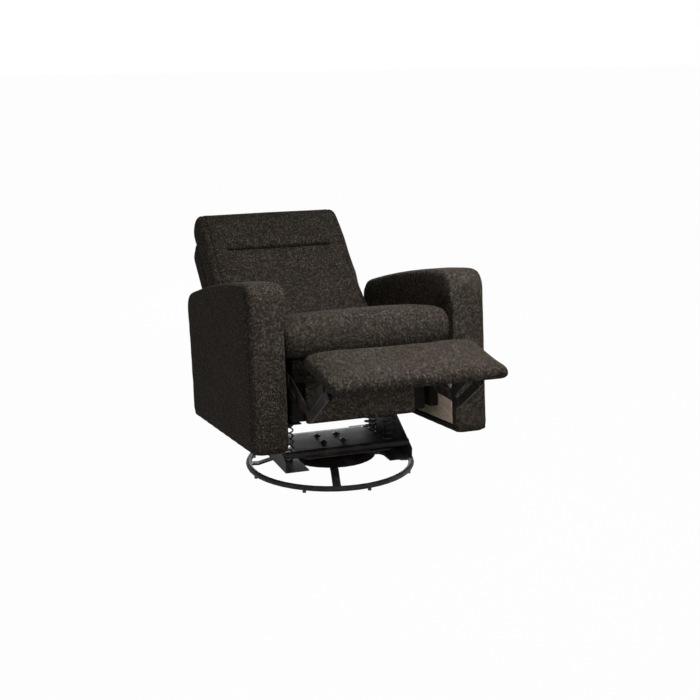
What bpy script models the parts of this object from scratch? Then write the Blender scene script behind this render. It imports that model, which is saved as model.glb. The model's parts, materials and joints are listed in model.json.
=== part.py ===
"""Swivel rocker recliner with its footrest out and its back laid down.

Metres, +Z up. The sitter faces -Y, so the sitter's left is +X. The chair body, which
rocks, is drawn level: a level height is a height above the floor before the chair
tips back by REST_TIP. Everything on the chair body hangs under the rock axis.
"""

import bpy
import bmesh
from math import atan2, cos, pi, radians, sin, sqrt, tan
from mathutils import Vector

# Fits
FIT = 0.0003
PIN_PLAY = 0.0006
LINK_GAP = 0.0005

# Whole chair
CHAIR_WIDTH = 0.750
ARM_WIDTH = 0.107
SWIVEL_Y = -0.0044

# Facets
CURVE_STEPS = 4
ROUND_STEPS = 10
LONG_STEPS = 8
FACE_STEPS = 16
PAD_SPANS = 8

# Floor ring, its glides and its cross of spokes
RING_RADIUS = 0.269
RING_TUBE_RADIUS = 0.0095
RING_SEGMENTS = 48
RING_SIDES = 8
GLIDE_COUNT = 8
GLIDE_RADIUS = 0.006
GLIDE_HEIGHT = 0.006
CROSS_TURN = radians(-14.5)
SPOKE_WIDTH = 0.026
SPOKE_THICKNESS = 0.006
SPOKE_RISE = 0.024
SPOKE_FOOT = 0.022
HUB_FOOT_RADIUS = 0.150
HUB_TOP_RADIUS = 0.050
HUB_HEIGHT = 0.040
HUB_WALL = 0.003
HUB_SIDES = 32

# Turntable: bearing, plate, cross tubes, side brackets and rocker tracks
BEARING_RADIUS = 0.065
BEARING_HEIGHT = 0.010
PLATE_INSET = 0.066
PLATE_REAR = 0.066
PLATE_THICKNESS = 0.004
PLATE_LIP = 0.015
CROSS_TUBE_RADIUS = 0.0115
CROSS_TUBE_Y = -0.165
REAR_BAR_Y = 0.150
REAR_BAR_WIDTH = 0.030
REAR_BAR_THICKNESS = 0.004
BRACKET_INSET = 0.054
BRACKET_WALL = 0.004
BRACKET_FLANGE = 0.077
BRACKET_BOTTOM = 0.060
BRACKET_END = 0.190
BRACKET_END_HEIGHT = 0.035
BRACKET_TOP_HALF = 0.060
TRACK_WIDTH = 0.060
TRACK_THICKNESS = 0.004
TRACK_HALF_LENGTH = 0.055
TRACK_DROP = 0.018

# Rocking: axis height, rest tip, furthest tip back, cams and coil springs
ROCK_HEIGHT = 0.200
REST_TIP = radians(6.3)
FULL_TIP = radians(9.3)
CAM_CENTRE_RISE = 0.060
CAM_WIDTH = 0.030
MOUNT_DROP = 0.013
MOUNT_THICKNESS = 0.004
MOUNT_HALF_LENGTH = 0.155
MOUNT_WING_FRONT = -0.150
SPRING_Y = 0.085
SPRING_RADIUS = 0.019
SPRING_WIRE_RADIUS = 0.0025
SPRING_TURNS = 6
SPRING_POINTS = 8

# Seat box: rails, deck, front panel
DECK_HEIGHT = 0.3866
DECK_FALL = 0.1207
DECK_THICKNESS = 0.015
DECK_FRONT = -0.300
DECK_REAR = 0.200
RAIL_THICKNESS = 0.027
RAIL_BOTTOM = 0.225
RAIL_FRONT = -0.270
RAIL_REAR = 0.160
REAR_RAIL_THICKNESS = 0.030
REAR_RAIL_BOTTOM = 0.150
PANEL_INSET = 0.087
PANEL_FRONT = -0.300
PANEL_THICKNESS = 0.018
PANEL_BOTTOM = 0.214
PANEL_CORNER = 0.012
PANEL_WING_INSET = 0.050
PANEL_WING_BOTTOM = 0.345
FRONT_RAIL_THICKNESS = 0.020
FRONT_RAIL_BOTTOM = 0.222

# Seat cushion, heights measured from the deck
SEAT_SIDE_GAP = 0.003
SEAT_NOSE = -0.402
SEAT_NOSE_LOW = 0.0434
SEAT_NOSE_HIGH = 0.1704
SEAT_NOSE_DEPTH = 0.050
SEAT_REAR = 0.222
SEAT_REAR_HIGH = 0.0914
SEAT_STEP = 0.006
SEAT_REAR_FLAT = 0.044
SEAT_EDGE = 0.022
SEAT_CROWN = 0.016
SEAT_DRAW = 0.003

# Arms and the bare boards let into their inner faces
ARM_FRONT = -0.407
ARM_REAR_FOOT = 0.348
ARM_REAR_TOP = 0.371
ARM_BOTTOM = 0.155
ARM_TOP = 0.661
ARM_FALL = 0.090
ARM_ARCH_POWER = 1.7
ARM_FOOT_CORNER = 0.022
ARM_TOP_CORNER = 0.055
ARM_EDGE = 0.020
BOARD_THICKNESS = 0.012
BOARD_WRAP = 0.035
BOARD_BOTTOM = 0.184
BOARD_TOP = 0.425
BOARD_REAR = 0.250

# Back: hinge, cushion and outer shell, measured along the laid-back face
BACK_PIVOT_Y = 0.294
BACK_PIVOT_HEIGHT = 0.447
RECLINE = radians(47.0)
BACK_SIDE_GAP = 0.010
BACK_ROLL = 0.0575
BACK_LENGTH = 0.515
BACK_HOLLOW = 0.0115
BACK_HOLLOW_AT = 0.170
BACK_HEAD_BULGE = 0.006
BACK_HEAD_AT = 0.395
BACK_TUCK_AT = 0.312
BACK_TUCK_DEPTH = 0.008
BACK_TUCK_REACH = 0.016
BACK_TUCK_INSET = 0.068
BACK_TOP_CORNER = 0.050
BACK_EDGE = 0.024
BACK_DRAW = 0.002
SHELL_THICKNESS = 0.082
SHELL_SWELL = 0.016
SHELL_BOTTOM = -0.030
SHELL_TOP = 0.470
SHELL_CORNER = 0.026
SHELL_EDGE = 0.012
HINGE_WALL = 0.004
HINGE_HALF_WIDTH = 0.018
HINGE_PIN_RADIUS = 0.006
HINGE_FOOT_Y = 0.212
HINGE_FOOT_HEIGHT = 0.335
STRAP_REACH = 0.130
STRAP_DROP = 0.100

# Footrest linkage, each side, from the side plate inwards
LINK_WALL = 0.0036
LINK_HALF_WIDTH = 0.014
LINK_PIN_RADIUS = 0.005
SIDE_PLATE_WALL = 0.004
SIDE_PLATE_EAR = 0.018
SIDE_PLATE_CREST = 0.028
SIDE_PLATE_NECK_Y = -0.190
SIDE_PLATE_NECK_DROP = 0.062
SIDE_PLATE_FOOT_DROP = 0.098
FRONT_PIVOT_Y = -0.311
FRONT_PIVOT_DROP = 0.0266
REAR_PIVOT_BEHIND = 0.110
REAR_PIVOT_ABOVE = 0.010
SWING_LENGTH = 0.162
SWING_DROOP = radians(25.0)
SWING_TAIL = 0.045
CARRIER_REACH = 0.165
CARRIER_RISE = radians(30.6)
TORQUE_TUBE_RADIUS = 0.009

# Footrest, measured from its rear eye
FOOTREST_SLOPE = radians(11.0)
FOOTREST_SIDE_GAP = 0.004
FOOTREST_LENGTH = 0.250
FOOTREST_BEHIND_EYE = 0.070
FOOTREST_ABOVE_EYE = 0.0305
FOOTREST_EYE_SPACING = 0.060
FOOTREST_BOARD_WALL = 0.010
FOOTREST_BOARD_MARGIN = 0.045
FOOTREST_BOARD_SIDE = 0.025
FOOTREST_PAD_HEIGHT = 0.047
FOOTREST_PAD_CORNER = 0.022
FOOTREST_CROWN = 0.010
FOOTREST_EDGE = 0.018
FOOTREST_DRAW = 0.005

# Sizes that follow
INNER_HALF = CHAIR_WIDTH / 2 - ARM_WIDTH
BRACKET_HALF_WIDTH = INNER_HALF - BRACKET_INSET
PLATE_HALF_WIDTH = BRACKET_HALF_WIDTH - PLATE_INSET
PANEL_HALF_WIDTH = INNER_HALF - PANEL_INSET
PANEL_WING_HALF_WIDTH = INNER_HALF - PANEL_WING_INSET
SEAT_HALF_WIDTH = INNER_HALF - SEAT_SIDE_GAP
BACK_HALF_WIDTH = INNER_HALF - BACK_SIDE_GAP
BACK_TUCK_HALF_WIDTH = BACK_HALF_WIDTH - BACK_TUCK_INSET
FOOTREST_HALF_WIDTH = INNER_HALF - FOOTREST_SIDE_GAP
RING_HEIGHT = GLIDE_HEIGHT + RING_TUBE_RADIUS
CROSS_TOP = RING_HEIGHT + SPOKE_RISE + SPOKE_THICKNESS / 2
HUB_TOP = CROSS_TOP + FIT + HUB_HEIGHT
BEARING_TOP = HUB_TOP + FIT + BEARING_HEIGHT
PLATE_TOP = BEARING_TOP + FIT + PLATE_THICKNESS
FRONT_TUBE_HEIGHT = PLATE_TOP + FIT + CROSS_TUBE_RADIUS
BRACKET_FOOT_TOP = BRACKET_BOTTOM + BRACKET_WALL
MOUNT_BOTTOM = ROCK_HEIGHT - MOUNT_DROP
TRACK_TOP = MOUNT_BOTTOM - TRACK_DROP
RAIL_OUTER = INNER_HALF - FIT
RAIL_INNER = RAIL_OUTER - RAIL_THICKNESS
SIDE_PLATE_OUTER = RAIL_INNER - FIT
SIDE_PLATE_INNER = SIDE_PLATE_OUTER - SIDE_PLATE_WALL
LINK_PITCH = LINK_WALL + LINK_GAP
HINGE_OUTER = INNER_HALF - FIT
HINGE_INNER = HINGE_OUTER - HINGE_WALL
SEAT_NOSE_BOTTOM = DECK_HEIGHT + SEAT_NOSE_LOW
SEAT_NOSE_TOP = DECK_HEIGHT + SEAT_NOSE_HIGH
SEAT_REAR_TOP = DECK_HEIGHT + SEAT_REAR_HIGH
FRONT_PIVOT_HEIGHT = DECK_HEIGHT - FRONT_PIVOT_DROP
REAR_RAIL_BACK = RAIL_REAR + FIT + REAR_RAIL_THICKNESS
REAR_RAIL_TOP = DECK_HEIGHT - DECK_FALL * REAR_RAIL_BACK - FIT

# Finishes: base colour, roughness, metallic
FABRIC = ((0.050, 0.041, 0.036), 0.95, 0.0)
BARE_WOOD = ((0.55, 0.38, 0.22), 0.70, 0.0)
BLACK_LINING = ((0.016, 0.015, 0.014), 0.90, 0.0)
BLACK_STEEL = ((0.012, 0.011, 0.012), 0.35, 1.0)
ZINC_STEEL = ((0.42, 0.41, 0.40), 0.40, 1.0)
BLACK_PLASTIC = ((0.015, 0.015, 0.015), 0.55, 0.0)


def clear_scene():
    for thing in list(bpy.data.objects):
        bpy.data.objects.remove(thing, do_unlink=True)


def finish_for(name, finish):
    """A material of the piece's own."""
    colour, roughness, metallic = finish
    material = bpy.data.materials.new(name)
    material.use_nodes = True
    shader = material.node_tree.nodes["Principled BSDF"]
    shader.inputs["Base Color"].default_value = (*colour, 1.0)
    shader.inputs["Roughness"].default_value = roughness
    shader.inputs["Metallic"].default_value = metallic
    material.diffuse_color = (*colour, 1.0)
    return material


def axis_empty(name, parent, location, turn=0.0):
    """An empty on a joint axis along X, turned about it."""
    empty = bpy.data.objects.new(name, None)
    bpy.context.scene.collection.objects.link(empty)
    empty.parent = parent
    empty.location = location
    empty.rotation_euler = (turn, 0.0, 0.0)
    return empty


def add_piece(name, shape, parent, finish):
    """One named object from a closed bmesh."""
    bmesh.ops.recalc_face_normals(shape, faces=shape.faces[:])
    mesh = bpy.data.meshes.new(name)
    shape.to_mesh(mesh)
    shape.free()
    mesh.shade_smooth()
    mesh.set_sharp_from_angle(angle=radians(35.0))
    mesh.materials.append(finish_for(name, finish))
    piece = bpy.data.objects.new(name, mesh)
    bpy.context.scene.collection.objects.link(piece)
    piece.parent = parent
    return piece


# Plane figures, as lists of (a, b) points

def circle(centre, radius, sides=12):
    return [
        (centre[0] + radius * cos(2 * pi * k / sides), centre[1] + radius * sin(2 * pi * k / sides))
        for k in range(sides)
    ]


def arc(centre, radius, start, end, steps):
    angles = [start + (end - start) * k / steps for k in range(steps + 1)]
    return [(centre[0] + radius * cos(t), centre[1] + radius * sin(t)) for t in angles]


def rounded(corners, steps=CURVE_STEPS):
    """An outline through (a, b, radius) corners, each turned by an arc of its radius."""
    outline = []
    for k, (a, b, radius) in enumerate(corners):
        here = Vector((a, b))
        if radius == 0:
            outline.append((a, b))
            continue
        to_last = (Vector(corners[k - 1][:2]) - here).normalized()
        to_next = (Vector(corners[(k + 1) % len(corners)][:2]) - here).normalized()
        half = to_last.angle(to_next) / 2
        centre = here + (to_last + to_next).normalized() * (radius / sin(half))
        first = here + to_last * (radius / tan(half)) - centre
        last = here + to_next * (radius / tan(half)) - centre
        start = atan2(first.y, first.x)
        sweep = (atan2(last.y, last.x) - start + pi) % (2 * pi) - pi
        outline += arc(centre, radius, start, start + sweep, steps)
    return outline


def bar(points, half_width, steps=6):
    """The outline of a flat bar with round ends, through two or more points."""
    path = [Vector(point) for point in points]
    legs = [(after - before).normalized() for before, after in zip(path, path[1:])]
    left = []
    right = []
    for k, point in enumerate(path[1:-1], 1):
        mitre = (legs[k - 1] + legs[k]).normalized()
        side = Vector((-mitre.y, mitre.x)) * (half_width / mitre.dot(legs[k]))
        left.append(tuple(point + side))
        right.append(tuple(point - side))
    tip = atan2(legs[-1].y, legs[-1].x)
    tail = atan2(legs[0].y, legs[0].x)
    far_end = arc(path[-1], half_width, tip - pi / 2, tip + pi / 2, steps)
    near_end = arc(path[0], half_width, tail + pi / 2, tail + 3 * pi / 2, steps)
    return right + far_end + left[::-1] + near_end


def drawn_in(outline, distance):
    """The outline moved inwards; it runs anticlockwise."""
    moved = []
    for k, point in enumerate(outline):
        here = Vector(point)
        before = (here - Vector(outline[k - 1])).normalized()
        after = (Vector(outline[(k + 1) % len(outline)]) - here).normalized()
        along = (before + after).normalized()
        inwards = Vector((-along.y, along.x))
        moved.append(tuple(here + inwards * (distance / max(along.dot(after), 0.5))))
    return moved


# Solids

def placed(axis, a, b, along):
    return {"X": (along, a, b), "Y": (a, along, b), "Z": (a, b, along)}[axis]


def plate(outline, start, end, axis="X", holes=(), pins=()):
    """A flat plate across an axis, with holes, and with pins standing on its end face.

    A hole is (centre, radius). A pin is (centre, radius, where its tip is on the axis).
    """
    pin_rings = [circle(centre, radius) for centre, radius, tip in pins]
    open_rings = [outline] + [circle(centre, radius) for centre, radius in holes]
    sheet = bmesh.new()
    rings = []
    for figure in open_rings + pin_rings:
        ring = [sheet.verts.new((a, b, 0.0)) for a, b in figure]
        for k, vert in enumerate(ring):
            sheet.edges.new((ring[k - 1], vert))
        rings.append(ring)
    bmesh.ops.triangle_fill(sheet, use_beauty=True, use_dissolve=False, edges=sheet.edges[:])

    solid = bmesh.new()
    low = {vert: solid.verts.new(placed(axis, vert.co.x, vert.co.y, start)) for vert in sheet.verts}
    high = {vert: solid.verts.new(placed(axis, vert.co.x, vert.co.y, end)) for vert in sheet.verts}
    for face in sheet.faces:
        solid.faces.new([low[vert] for vert in face.verts])
        solid.faces.new([high[vert] for vert in reversed(face.verts)])
    for ring in rings[:len(open_rings)]:
        wall(solid, [low[vert] for vert in ring], [high[vert] for vert in ring])
    for ring, (centre, radius, tip) in zip(rings[len(open_rings):], pins):
        ends = [solid.verts.new(placed(axis, vert.co.x, vert.co.y, tip)) for vert in ring]
        wall(solid, [high[vert] for vert in ring], ends)
        solid.faces.new(ends)
        solid.faces.new([low[vert] for vert in ring])
    sheet.free()
    return solid


def wall(solid, one_ring, other_ring):
    """A band of faces between two rings of as many points."""
    for k in range(len(one_ring)):
        solid.faces.new((one_ring[k - 1], one_ring[k], other_ring[k], other_ring[k - 1]))


def loft(loops):
    """A closed solid through loops of points, capped at both ends."""
    solid = bmesh.new()
    rings = [[solid.verts.new(point) for point in loop] for loop in loops]
    for one_ring, other_ring in zip(rings, rings[1:]):
        wall(solid, one_ring, other_ring)
    caps = [solid.faces.new(rings[0]), solid.faces.new(rings[-1])]
    bmesh.ops.triangulate(solid, faces=caps)
    return solid


def rounded_slab(outline, low, high, edge, spans, shape=None):
    """An outline in Y and Z lofted across X, its two side edges rounded by edge.

    shape moves a point (x, y, z), for a crown, a drawn-in side or a sewn tuck.
    """
    turns = [pi / 2 * k / CURVE_STEPS for k in range(CURVE_STEPS)]
    stations = [(low + edge * (1 - cos(t)), edge * (1 - sin(t))) for t in turns]
    inner_low = low + edge
    inner_high = high - edge
    stations += [(inner_low + (inner_high - inner_low) * k / spans, 0.0) for k in range(spans + 1)]
    stations += [(high - edge * (1 - cos(t)), edge * (1 - sin(t))) for t in reversed(turns)]
    loops = []
    for x, inset in stations:
        loop = [(x, y, z) for y, z in drawn_in(outline, inset)]
        loops.append([shape(*point) if shape else point for point in loop])
    return loft(loops)


def tube_across(radius, half_length, y, z, sides=12):
    return plate(circle((y, z), radius, sides), -half_length, half_length)


def disc(radius, bottom, top, x=0.0, y=0.0, sides=24):
    return plate(circle((x, y), radius, sides), bottom, top, axis="Z")


# Floor ring, root of the chair

def make_ring(parent):
    sides = []
    for k in range(RING_SEGMENTS):
        turn = 2 * pi * k / RING_SEGMENTS
        section = circle((RING_RADIUS, RING_HEIGHT), RING_TUBE_RADIUS, RING_SIDES)
        sides.append([(r * cos(turn), r * sin(turn), z) for r, z in section])
    solid = bmesh.new()
    rings = [[solid.verts.new(point) for point in loop] for loop in sides]
    for k in range(RING_SEGMENTS):
        wall(solid, rings[k - 1], rings[k])
    add_piece("base_ring", solid, parent, BLACK_STEEL)


def make_glides(parent):
    for k in range(GLIDE_COUNT):
        turn = CROSS_TURN + 2 * pi * (k + 0.5) / GLIDE_COUNT
        place = (RING_RADIUS * cos(turn), RING_RADIUS * sin(turn))
        glide = disc(GLIDE_RADIUS, 0.0, GLIDE_HEIGHT - FIT, *place, sides=12)
        add_piece(f"glide_{k + 1}", glide, parent, BLACK_PLASTIC)


def make_cross(parent):
    """Four flat spokes that rise from the ring to a square under the hub."""
    half = SPOKE_WIDTH / 2
    bore = (RING_RADIUS - RING_TUBE_RADIUS) * cos(pi / RING_SEGMENTS) - FIT
    end = sqrt(bore ** 2 - half ** 2)
    flat_end = HUB_FOOT_RADIUS + half
    stations = [(half, SPOKE_RISE), (flat_end, SPOKE_RISE), (end - SPOKE_FOOT, 0.0), (end, 0.0)]
    solid = bmesh.new()
    verts = {}

    def corner(quarter, station, side, level):
        """One shared point: the inner square's corners belong to two spokes each."""
        reach, rise = stations[station]
        turn = CROSS_TURN + quarter * pi / 2
        x = reach * cos(turn) - side * half * sin(turn)
        y = reach * sin(turn) + side * half * cos(turn)
        z = RING_HEIGHT + rise + level * SPOKE_THICKNESS / 2
        key = (round(x, 6), round(y, 6), round(z, 6))
        if key not in verts:
            verts[key] = solid.verts.new((x, y, z))
        return verts[key]

    last = len(stations) - 1
    for quarter in range(4):
        for k in range(last):
            for level in (-1, 1):
                solid.faces.new([
                    corner(quarter, k, -1, level), corner(quarter, k, 1, level),
                    corner(quarter, k + 1, 1, level), corner(quarter, k + 1, -1, level),
                ])
            for side in (-1, 1):
                solid.faces.new([
                    corner(quarter, k, side, -1), corner(quarter, k, side, 1),
                    corner(quarter, k + 1, side, 1), corner(quarter, k + 1, side, -1),
                ])
        solid.faces.new([
            corner(quarter, last, -1, -1), corner(quarter, last, 1, -1),
            corner(quarter, last, 1, 1), corner(quarter, last, -1, 1),
        ])
    for level in (-1, 1):
        solid.faces.new([corner(quarter, 0, 1, level) for quarter in range(4)])
    add_piece("base_cross", solid, parent, BLACK_STEEL)


def make_hub(parent):
    """The pressed pan on the cross that carries the bearing, open underneath."""
    foot = CROSS_TOP + FIT
    slant = (HUB_FOOT_RADIUS - HUB_TOP_RADIUS) / HUB_HEIGHT
    inwards = HUB_WALL * sqrt(1 + slant ** 2)
    rings = ((HUB_TOP_RADIUS + HUB_WALL * slant - inwards, HUB_TOP - HUB_WALL),
             (HUB_FOOT_RADIUS - inwards, foot), (HUB_FOOT_RADIUS, foot), (HUB_TOP_RADIUS, HUB_TOP))
    loops = [[(x, y, z) for x, y in circle((0.0, 0.0), radius, HUB_SIDES)] for radius, z in rings]
    add_piece("hub_pan", loft(loops), parent, BLACK_STEEL)


# Turntable

def make_turntable(parent):
    bearing = disc(BEARING_RADIUS, HUB_TOP + FIT, BEARING_TOP)
    add_piece("swivel_bearing", bearing, parent, ZINC_STEEL)
    half = PLATE_HALF_WIDTH
    front = CROSS_TUBE_Y - PLATE_LIP
    outline = rounded([(-half, front, PLATE_LIP), (half, front, PLATE_LIP),
                       (half, PLATE_REAR, PLATE_LIP), (-half, PLATE_REAR, PLATE_LIP)])
    top = plate(outline, BEARING_TOP + FIT, PLATE_TOP, axis="Z")
    add_piece("swivel_plate", top, parent, BLACK_STEEL)
    between = BRACKET_HALF_WIDTH - BRACKET_WALL - FIT
    tube = tube_across(CROSS_TUBE_RADIUS, between, CROSS_TUBE_Y, FRONT_TUBE_HEIGHT)
    add_piece("front_cross_tube", tube, parent, BLACK_STEEL)
    near = REAR_BAR_Y - REAR_BAR_WIDTH / 2
    far = REAR_BAR_Y + REAR_BAR_WIDTH / 2
    foot = BRACKET_FOOT_TOP + FIT
    outline = [(-between, near), (between, near), (between, far), (-between, far)]
    strip = plate(outline, foot, foot + REAR_BAR_THICKNESS, axis="Z")
    add_piece("rear_cross_bar", strip, parent, BLACK_STEEL)


def bracket_solid(side):
    """A side bracket: an upright web with raised middle, and a foot turned inwards."""
    web_top = TRACK_TOP - FIT
    end_top = BRACKET_BOTTOM + BRACKET_END_HEIGHT
    outer = side * BRACKET_HALF_WIDTH
    web_inner = side * (BRACKET_HALF_WIDTH - BRACKET_WALL)
    foot_inner = side * (BRACKET_HALF_WIDTH - BRACKET_FLANGE)
    loops = []
    stops = [(-BRACKET_END, end_top), (-BRACKET_TOP_HALF, web_top),
             (BRACKET_TOP_HALF, web_top), (BRACKET_END, end_top)]
    for y, top in stops:
        section = [(outer, BRACKET_BOTTOM), (outer, top), (web_inner, top), (web_inner, BRACKET_FOOT_TOP),
                   (foot_inner, BRACKET_FOOT_TOP), (foot_inner, BRACKET_BOTTOM)]
        loops.append([(x, y, z) for x, z in section])
    return loft(loops)


def make_side_bracket(parent, hand, side):
    add_piece(f"side_bracket_{hand}", bracket_solid(side), parent, BLACK_STEEL)
    outer = side * (BRACKET_HALF_WIDTH - BRACKET_WALL - FIT)
    inner = outer - side * TRACK_WIDTH
    length = TRACK_HALF_LENGTH
    outline = [(inner, -length), (outer, -length), (outer, length), (inner, length)]
    track = plate(outline, TRACK_TOP - TRACK_THICKNESS, TRACK_TOP, axis="Z")
    add_piece(f"rocker_track_{hand}", track, parent, BLACK_STEEL)


def mount_underside(y):
    """Height of the rocker mount's underside over y while the chair rests tipped back."""
    drop = ROCK_HEIGHT - MOUNT_BOTTOM
    along = (y - drop * sin(REST_TIP)) / cos(REST_TIP)
    return ROCK_HEIGHT - along * sin(REST_TIP) - drop * cos(REST_TIP)


def spring_points(bottom, top):
    """A coil with a straight end, one wire thick, square to each seat."""
    wire = 2 * SPRING_WIRE_RADIUS
    low = bottom + wire
    high = top - wire
    count = SPRING_TURNS * SPRING_POINTS
    coil = []
    for k in range(count + 1):
        turn = 2 * pi * k / SPRING_POINTS
        height = low + (high - low) * k / count
        coil.append(Vector((SPRING_RADIUS * cos(turn), SPRING_RADIUS * sin(turn), height)))
    first = Vector((SPRING_RADIUS, 0.0, bottom))
    last = Vector((SPRING_RADIUS, 0.0, top))
    return [first] + coil + [last]


def least_self_gap(points):
    """The least clear space between turns of the wire."""
    apart = SPRING_POINTS // 2
    pairs = [(a, b) for a in range(len(points)) for b in range(a + apart, len(points))]
    return min((points[a] - points[b]).length for a, b in pairs) - 2 * SPRING_WIRE_RADIUS


def make_spring(name, parent, x, y):
    bottom = BRACKET_FOOT_TOP + FIT
    reach = SPRING_RADIUS + SPRING_WIRE_RADIUS
    top = mount_underside(y + reach) - FIT
    points = spring_points(bottom, top)
    print(name, "least gap between turns, mm:", round(1000 * least_self_gap(points), 2))
    curve = bpy.data.curves.new(name, "CURVE")
    curve.dimensions = "3D"
    curve.bevel_depth = SPRING_WIRE_RADIUS
    curve.bevel_resolution = 1
    curve.use_fill_caps = True
    spline = curve.splines.new("POLY")
    spline.points.add(len(points) - 1)
    for knot, point in zip(spline.points, points):
        knot.co = (point.x, point.y, point.z, 1.0)
    curve.materials.append(finish_for(name, BLACK_STEEL))
    spring = bpy.data.objects.new(name, curve)
    bpy.context.scene.collection.objects.link(spring)
    spring.parent = parent
    spring.location = (x, y, 0.0)


def make_springs(parent, hand, side):
    x = side * (BRACKET_HALF_WIDTH - BRACKET_FLANGE / 2)
    make_spring(f"front_spring_{hand}", parent, x, -SPRING_Y)
    make_spring(f"rear_spring_{hand}", parent, x, SPRING_Y)


# Chair body, drawn level about the rock axis

def level(y, height):
    return (y, height - ROCK_HEIGHT)


def levels(outline):
    return [level(y, height) for y, height in outline]


def deck_underside(y):
    return DECK_HEIGHT - DECK_FALL * y


def make_rocker(parent, hand, side):
    """The mount over the springs, reaching out to the side plate, and the cam under it."""
    outer = side * (BRACKET_HALF_WIDTH - BRACKET_WALL - FIT)
    inner = outer - side * TRACK_WIDTH
    wing = side * (SIDE_PLATE_INNER - FIT)
    length = MOUNT_HALF_LENGTH
    outline = [(inner, -length), (outer, -length), (outer, MOUNT_WING_FRONT),
               (wing, MOUNT_WING_FRONT), (wing, length), (inner, length)]
    bottom = MOUNT_BOTTOM - ROCK_HEIGHT
    mount = plate(outline, bottom, bottom + MOUNT_THICKNESS, axis="Z")
    add_piece(f"rocker_mount_{hand}", mount, parent, BLACK_STEEL)

    top = bottom - FIT
    radius = ROCK_HEIGHT + CAM_CENTRE_RISE * cos(FULL_TIP) - TRACK_TOP - FIT
    half_angle = atan2(sqrt(radius ** 2 - (CAM_CENTRE_RISE - top) ** 2), CAM_CENTRE_RISE - top)
    segment = arc((0.0, CAM_CENTRE_RISE), radius, -pi / 2 - half_angle, -pi / 2 + half_angle, ROUND_STEPS)
    middle = (inner + outer) / 2
    cam = plate(segment, middle - CAM_WIDTH / 2, middle + CAM_WIDTH / 2)
    add_piece(f"rocker_cam_{hand}", cam, parent, BLACK_STEEL)


def make_seat_box(parent):
    half = RAIL_OUTER
    deck = [(DECK_FRONT, deck_underside(DECK_FRONT)), (DECK_REAR, deck_underside(DECK_REAR)),
            (DECK_REAR, deck_underside(DECK_REAR) + DECK_THICKNESS),
            (DECK_FRONT, deck_underside(DECK_FRONT) + DECK_THICKNESS)]
    add_piece("seat_deck", plate(levels(deck), -half, half), parent, BLACK_LINING)

    rear = RAIL_REAR + FIT
    rail = [(rear, REAR_RAIL_BOTTOM), (REAR_RAIL_BACK, REAR_RAIL_BOTTOM),
            (REAR_RAIL_BACK, REAR_RAIL_TOP), (rear, REAR_RAIL_TOP)]
    across = HINGE_INNER - FIT
    add_piece("rear_rail", plate(levels(rail), -across, across), parent, BLACK_LINING)


def make_front(parent):
    """The covered panel under the seat's nose, wider at its top, and the rail that it is fixed to."""
    behind = PANEL_FRONT + PANEL_THICKNESS
    top = deck_underside(behind) - FIT
    half = PANEL_HALF_WIDTH
    wing = PANEL_WING_HALF_WIDTH
    corner = PANEL_CORNER
    corners = [(-half, PANEL_BOTTOM, corner), (half, PANEL_BOTTOM, corner),
               (half, PANEL_WING_BOTTOM, 0), (wing, PANEL_WING_BOTTOM, corner / 2), (wing, top, 0),
               (-wing, top, 0), (-wing, PANEL_WING_BOTTOM, corner / 2), (-half, PANEL_WING_BOTTOM, 0)]
    outline = [(x, height - ROCK_HEIGHT) for x, height in rounded(corners)]
    add_piece("front_panel", plate(outline, PANEL_FRONT, behind, axis="Y"), parent, FABRIC)

    near = behind + FIT
    far = near + FRONT_RAIL_THICKNESS
    rail = [(near, FRONT_RAIL_BOTTOM), (far, FRONT_RAIL_BOTTOM),
            (far, deck_underside(far) - FIT), (near, deck_underside(near) - FIT)]
    add_piece("front_rail", plate(levels(rail), -wing, wing), parent, BLACK_LINING)


def make_seat_rail(parent, hand, side):
    rail = [(RAIL_FRONT, RAIL_BOTTOM), (RAIL_REAR, RAIL_BOTTOM),
            (RAIL_REAR, deck_underside(RAIL_REAR) - FIT), (RAIL_FRONT, deck_underside(RAIL_FRONT) - FIT)]
    solid = plate(levels(rail), side * RAIL_INNER, side * RAIL_OUTER)
    add_piece(f"seat_rail_{hand}", solid, parent, BLACK_LINING)


def seat_outline():
    """The cushion from the side: a round nose over the footrest, a top that falls rearwards."""
    seat_bottom = DECK_THICKNESS + FIT
    nose_y = SEAT_NOSE + SEAT_NOSE_DEPTH
    nose_middle = (SEAT_NOSE_TOP + SEAT_NOSE_BOTTOM) / 2
    nose_half = (SEAT_NOSE_TOP - SEAT_NOSE_BOTTOM) / 2
    nose = []
    for k in range(1, ROUND_STEPS):
        turn = pi / 2 + pi * k / ROUND_STEPS
        nose.append((nose_y + SEAT_NOSE_DEPTH * cos(turn), nose_middle + nose_half * sin(turn)))
    under = [(nose_y, SEAT_NOSE_BOTTOM), (DECK_FRONT - SEAT_STEP, SEAT_NOSE_BOTTOM)]
    for k in range(CURVE_STEPS + 1):
        y = DECK_FRONT + (SEAT_REAR - SEAT_EDGE - DECK_FRONT) * k / CURVE_STEPS
        under.append((y, deck_underside(y) + seat_bottom))
    low_corner = deck_underside(SEAT_REAR) + seat_bottom
    low_y = SEAT_REAR - SEAT_REAR_FLAT
    rear = rounded([(low_y, low_corner, 0), (SEAT_REAR, low_corner, 0),
                    (SEAT_REAR, SEAT_REAR_TOP, SEAT_EDGE), (low_y, SEAT_REAR_TOP, 0)])[1:-1]
    top = []
    for k in range(LONG_STEPS + 1):
        share = k / LONG_STEPS
        fall = (SEAT_NOSE_TOP - SEAT_REAR_TOP) * (1 + cos(pi * share)) / 2
        top.append((low_y + (nose_y - low_y) * share, SEAT_NOSE_TOP - fall))
    return levels(under + rear + top + nose)


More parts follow.
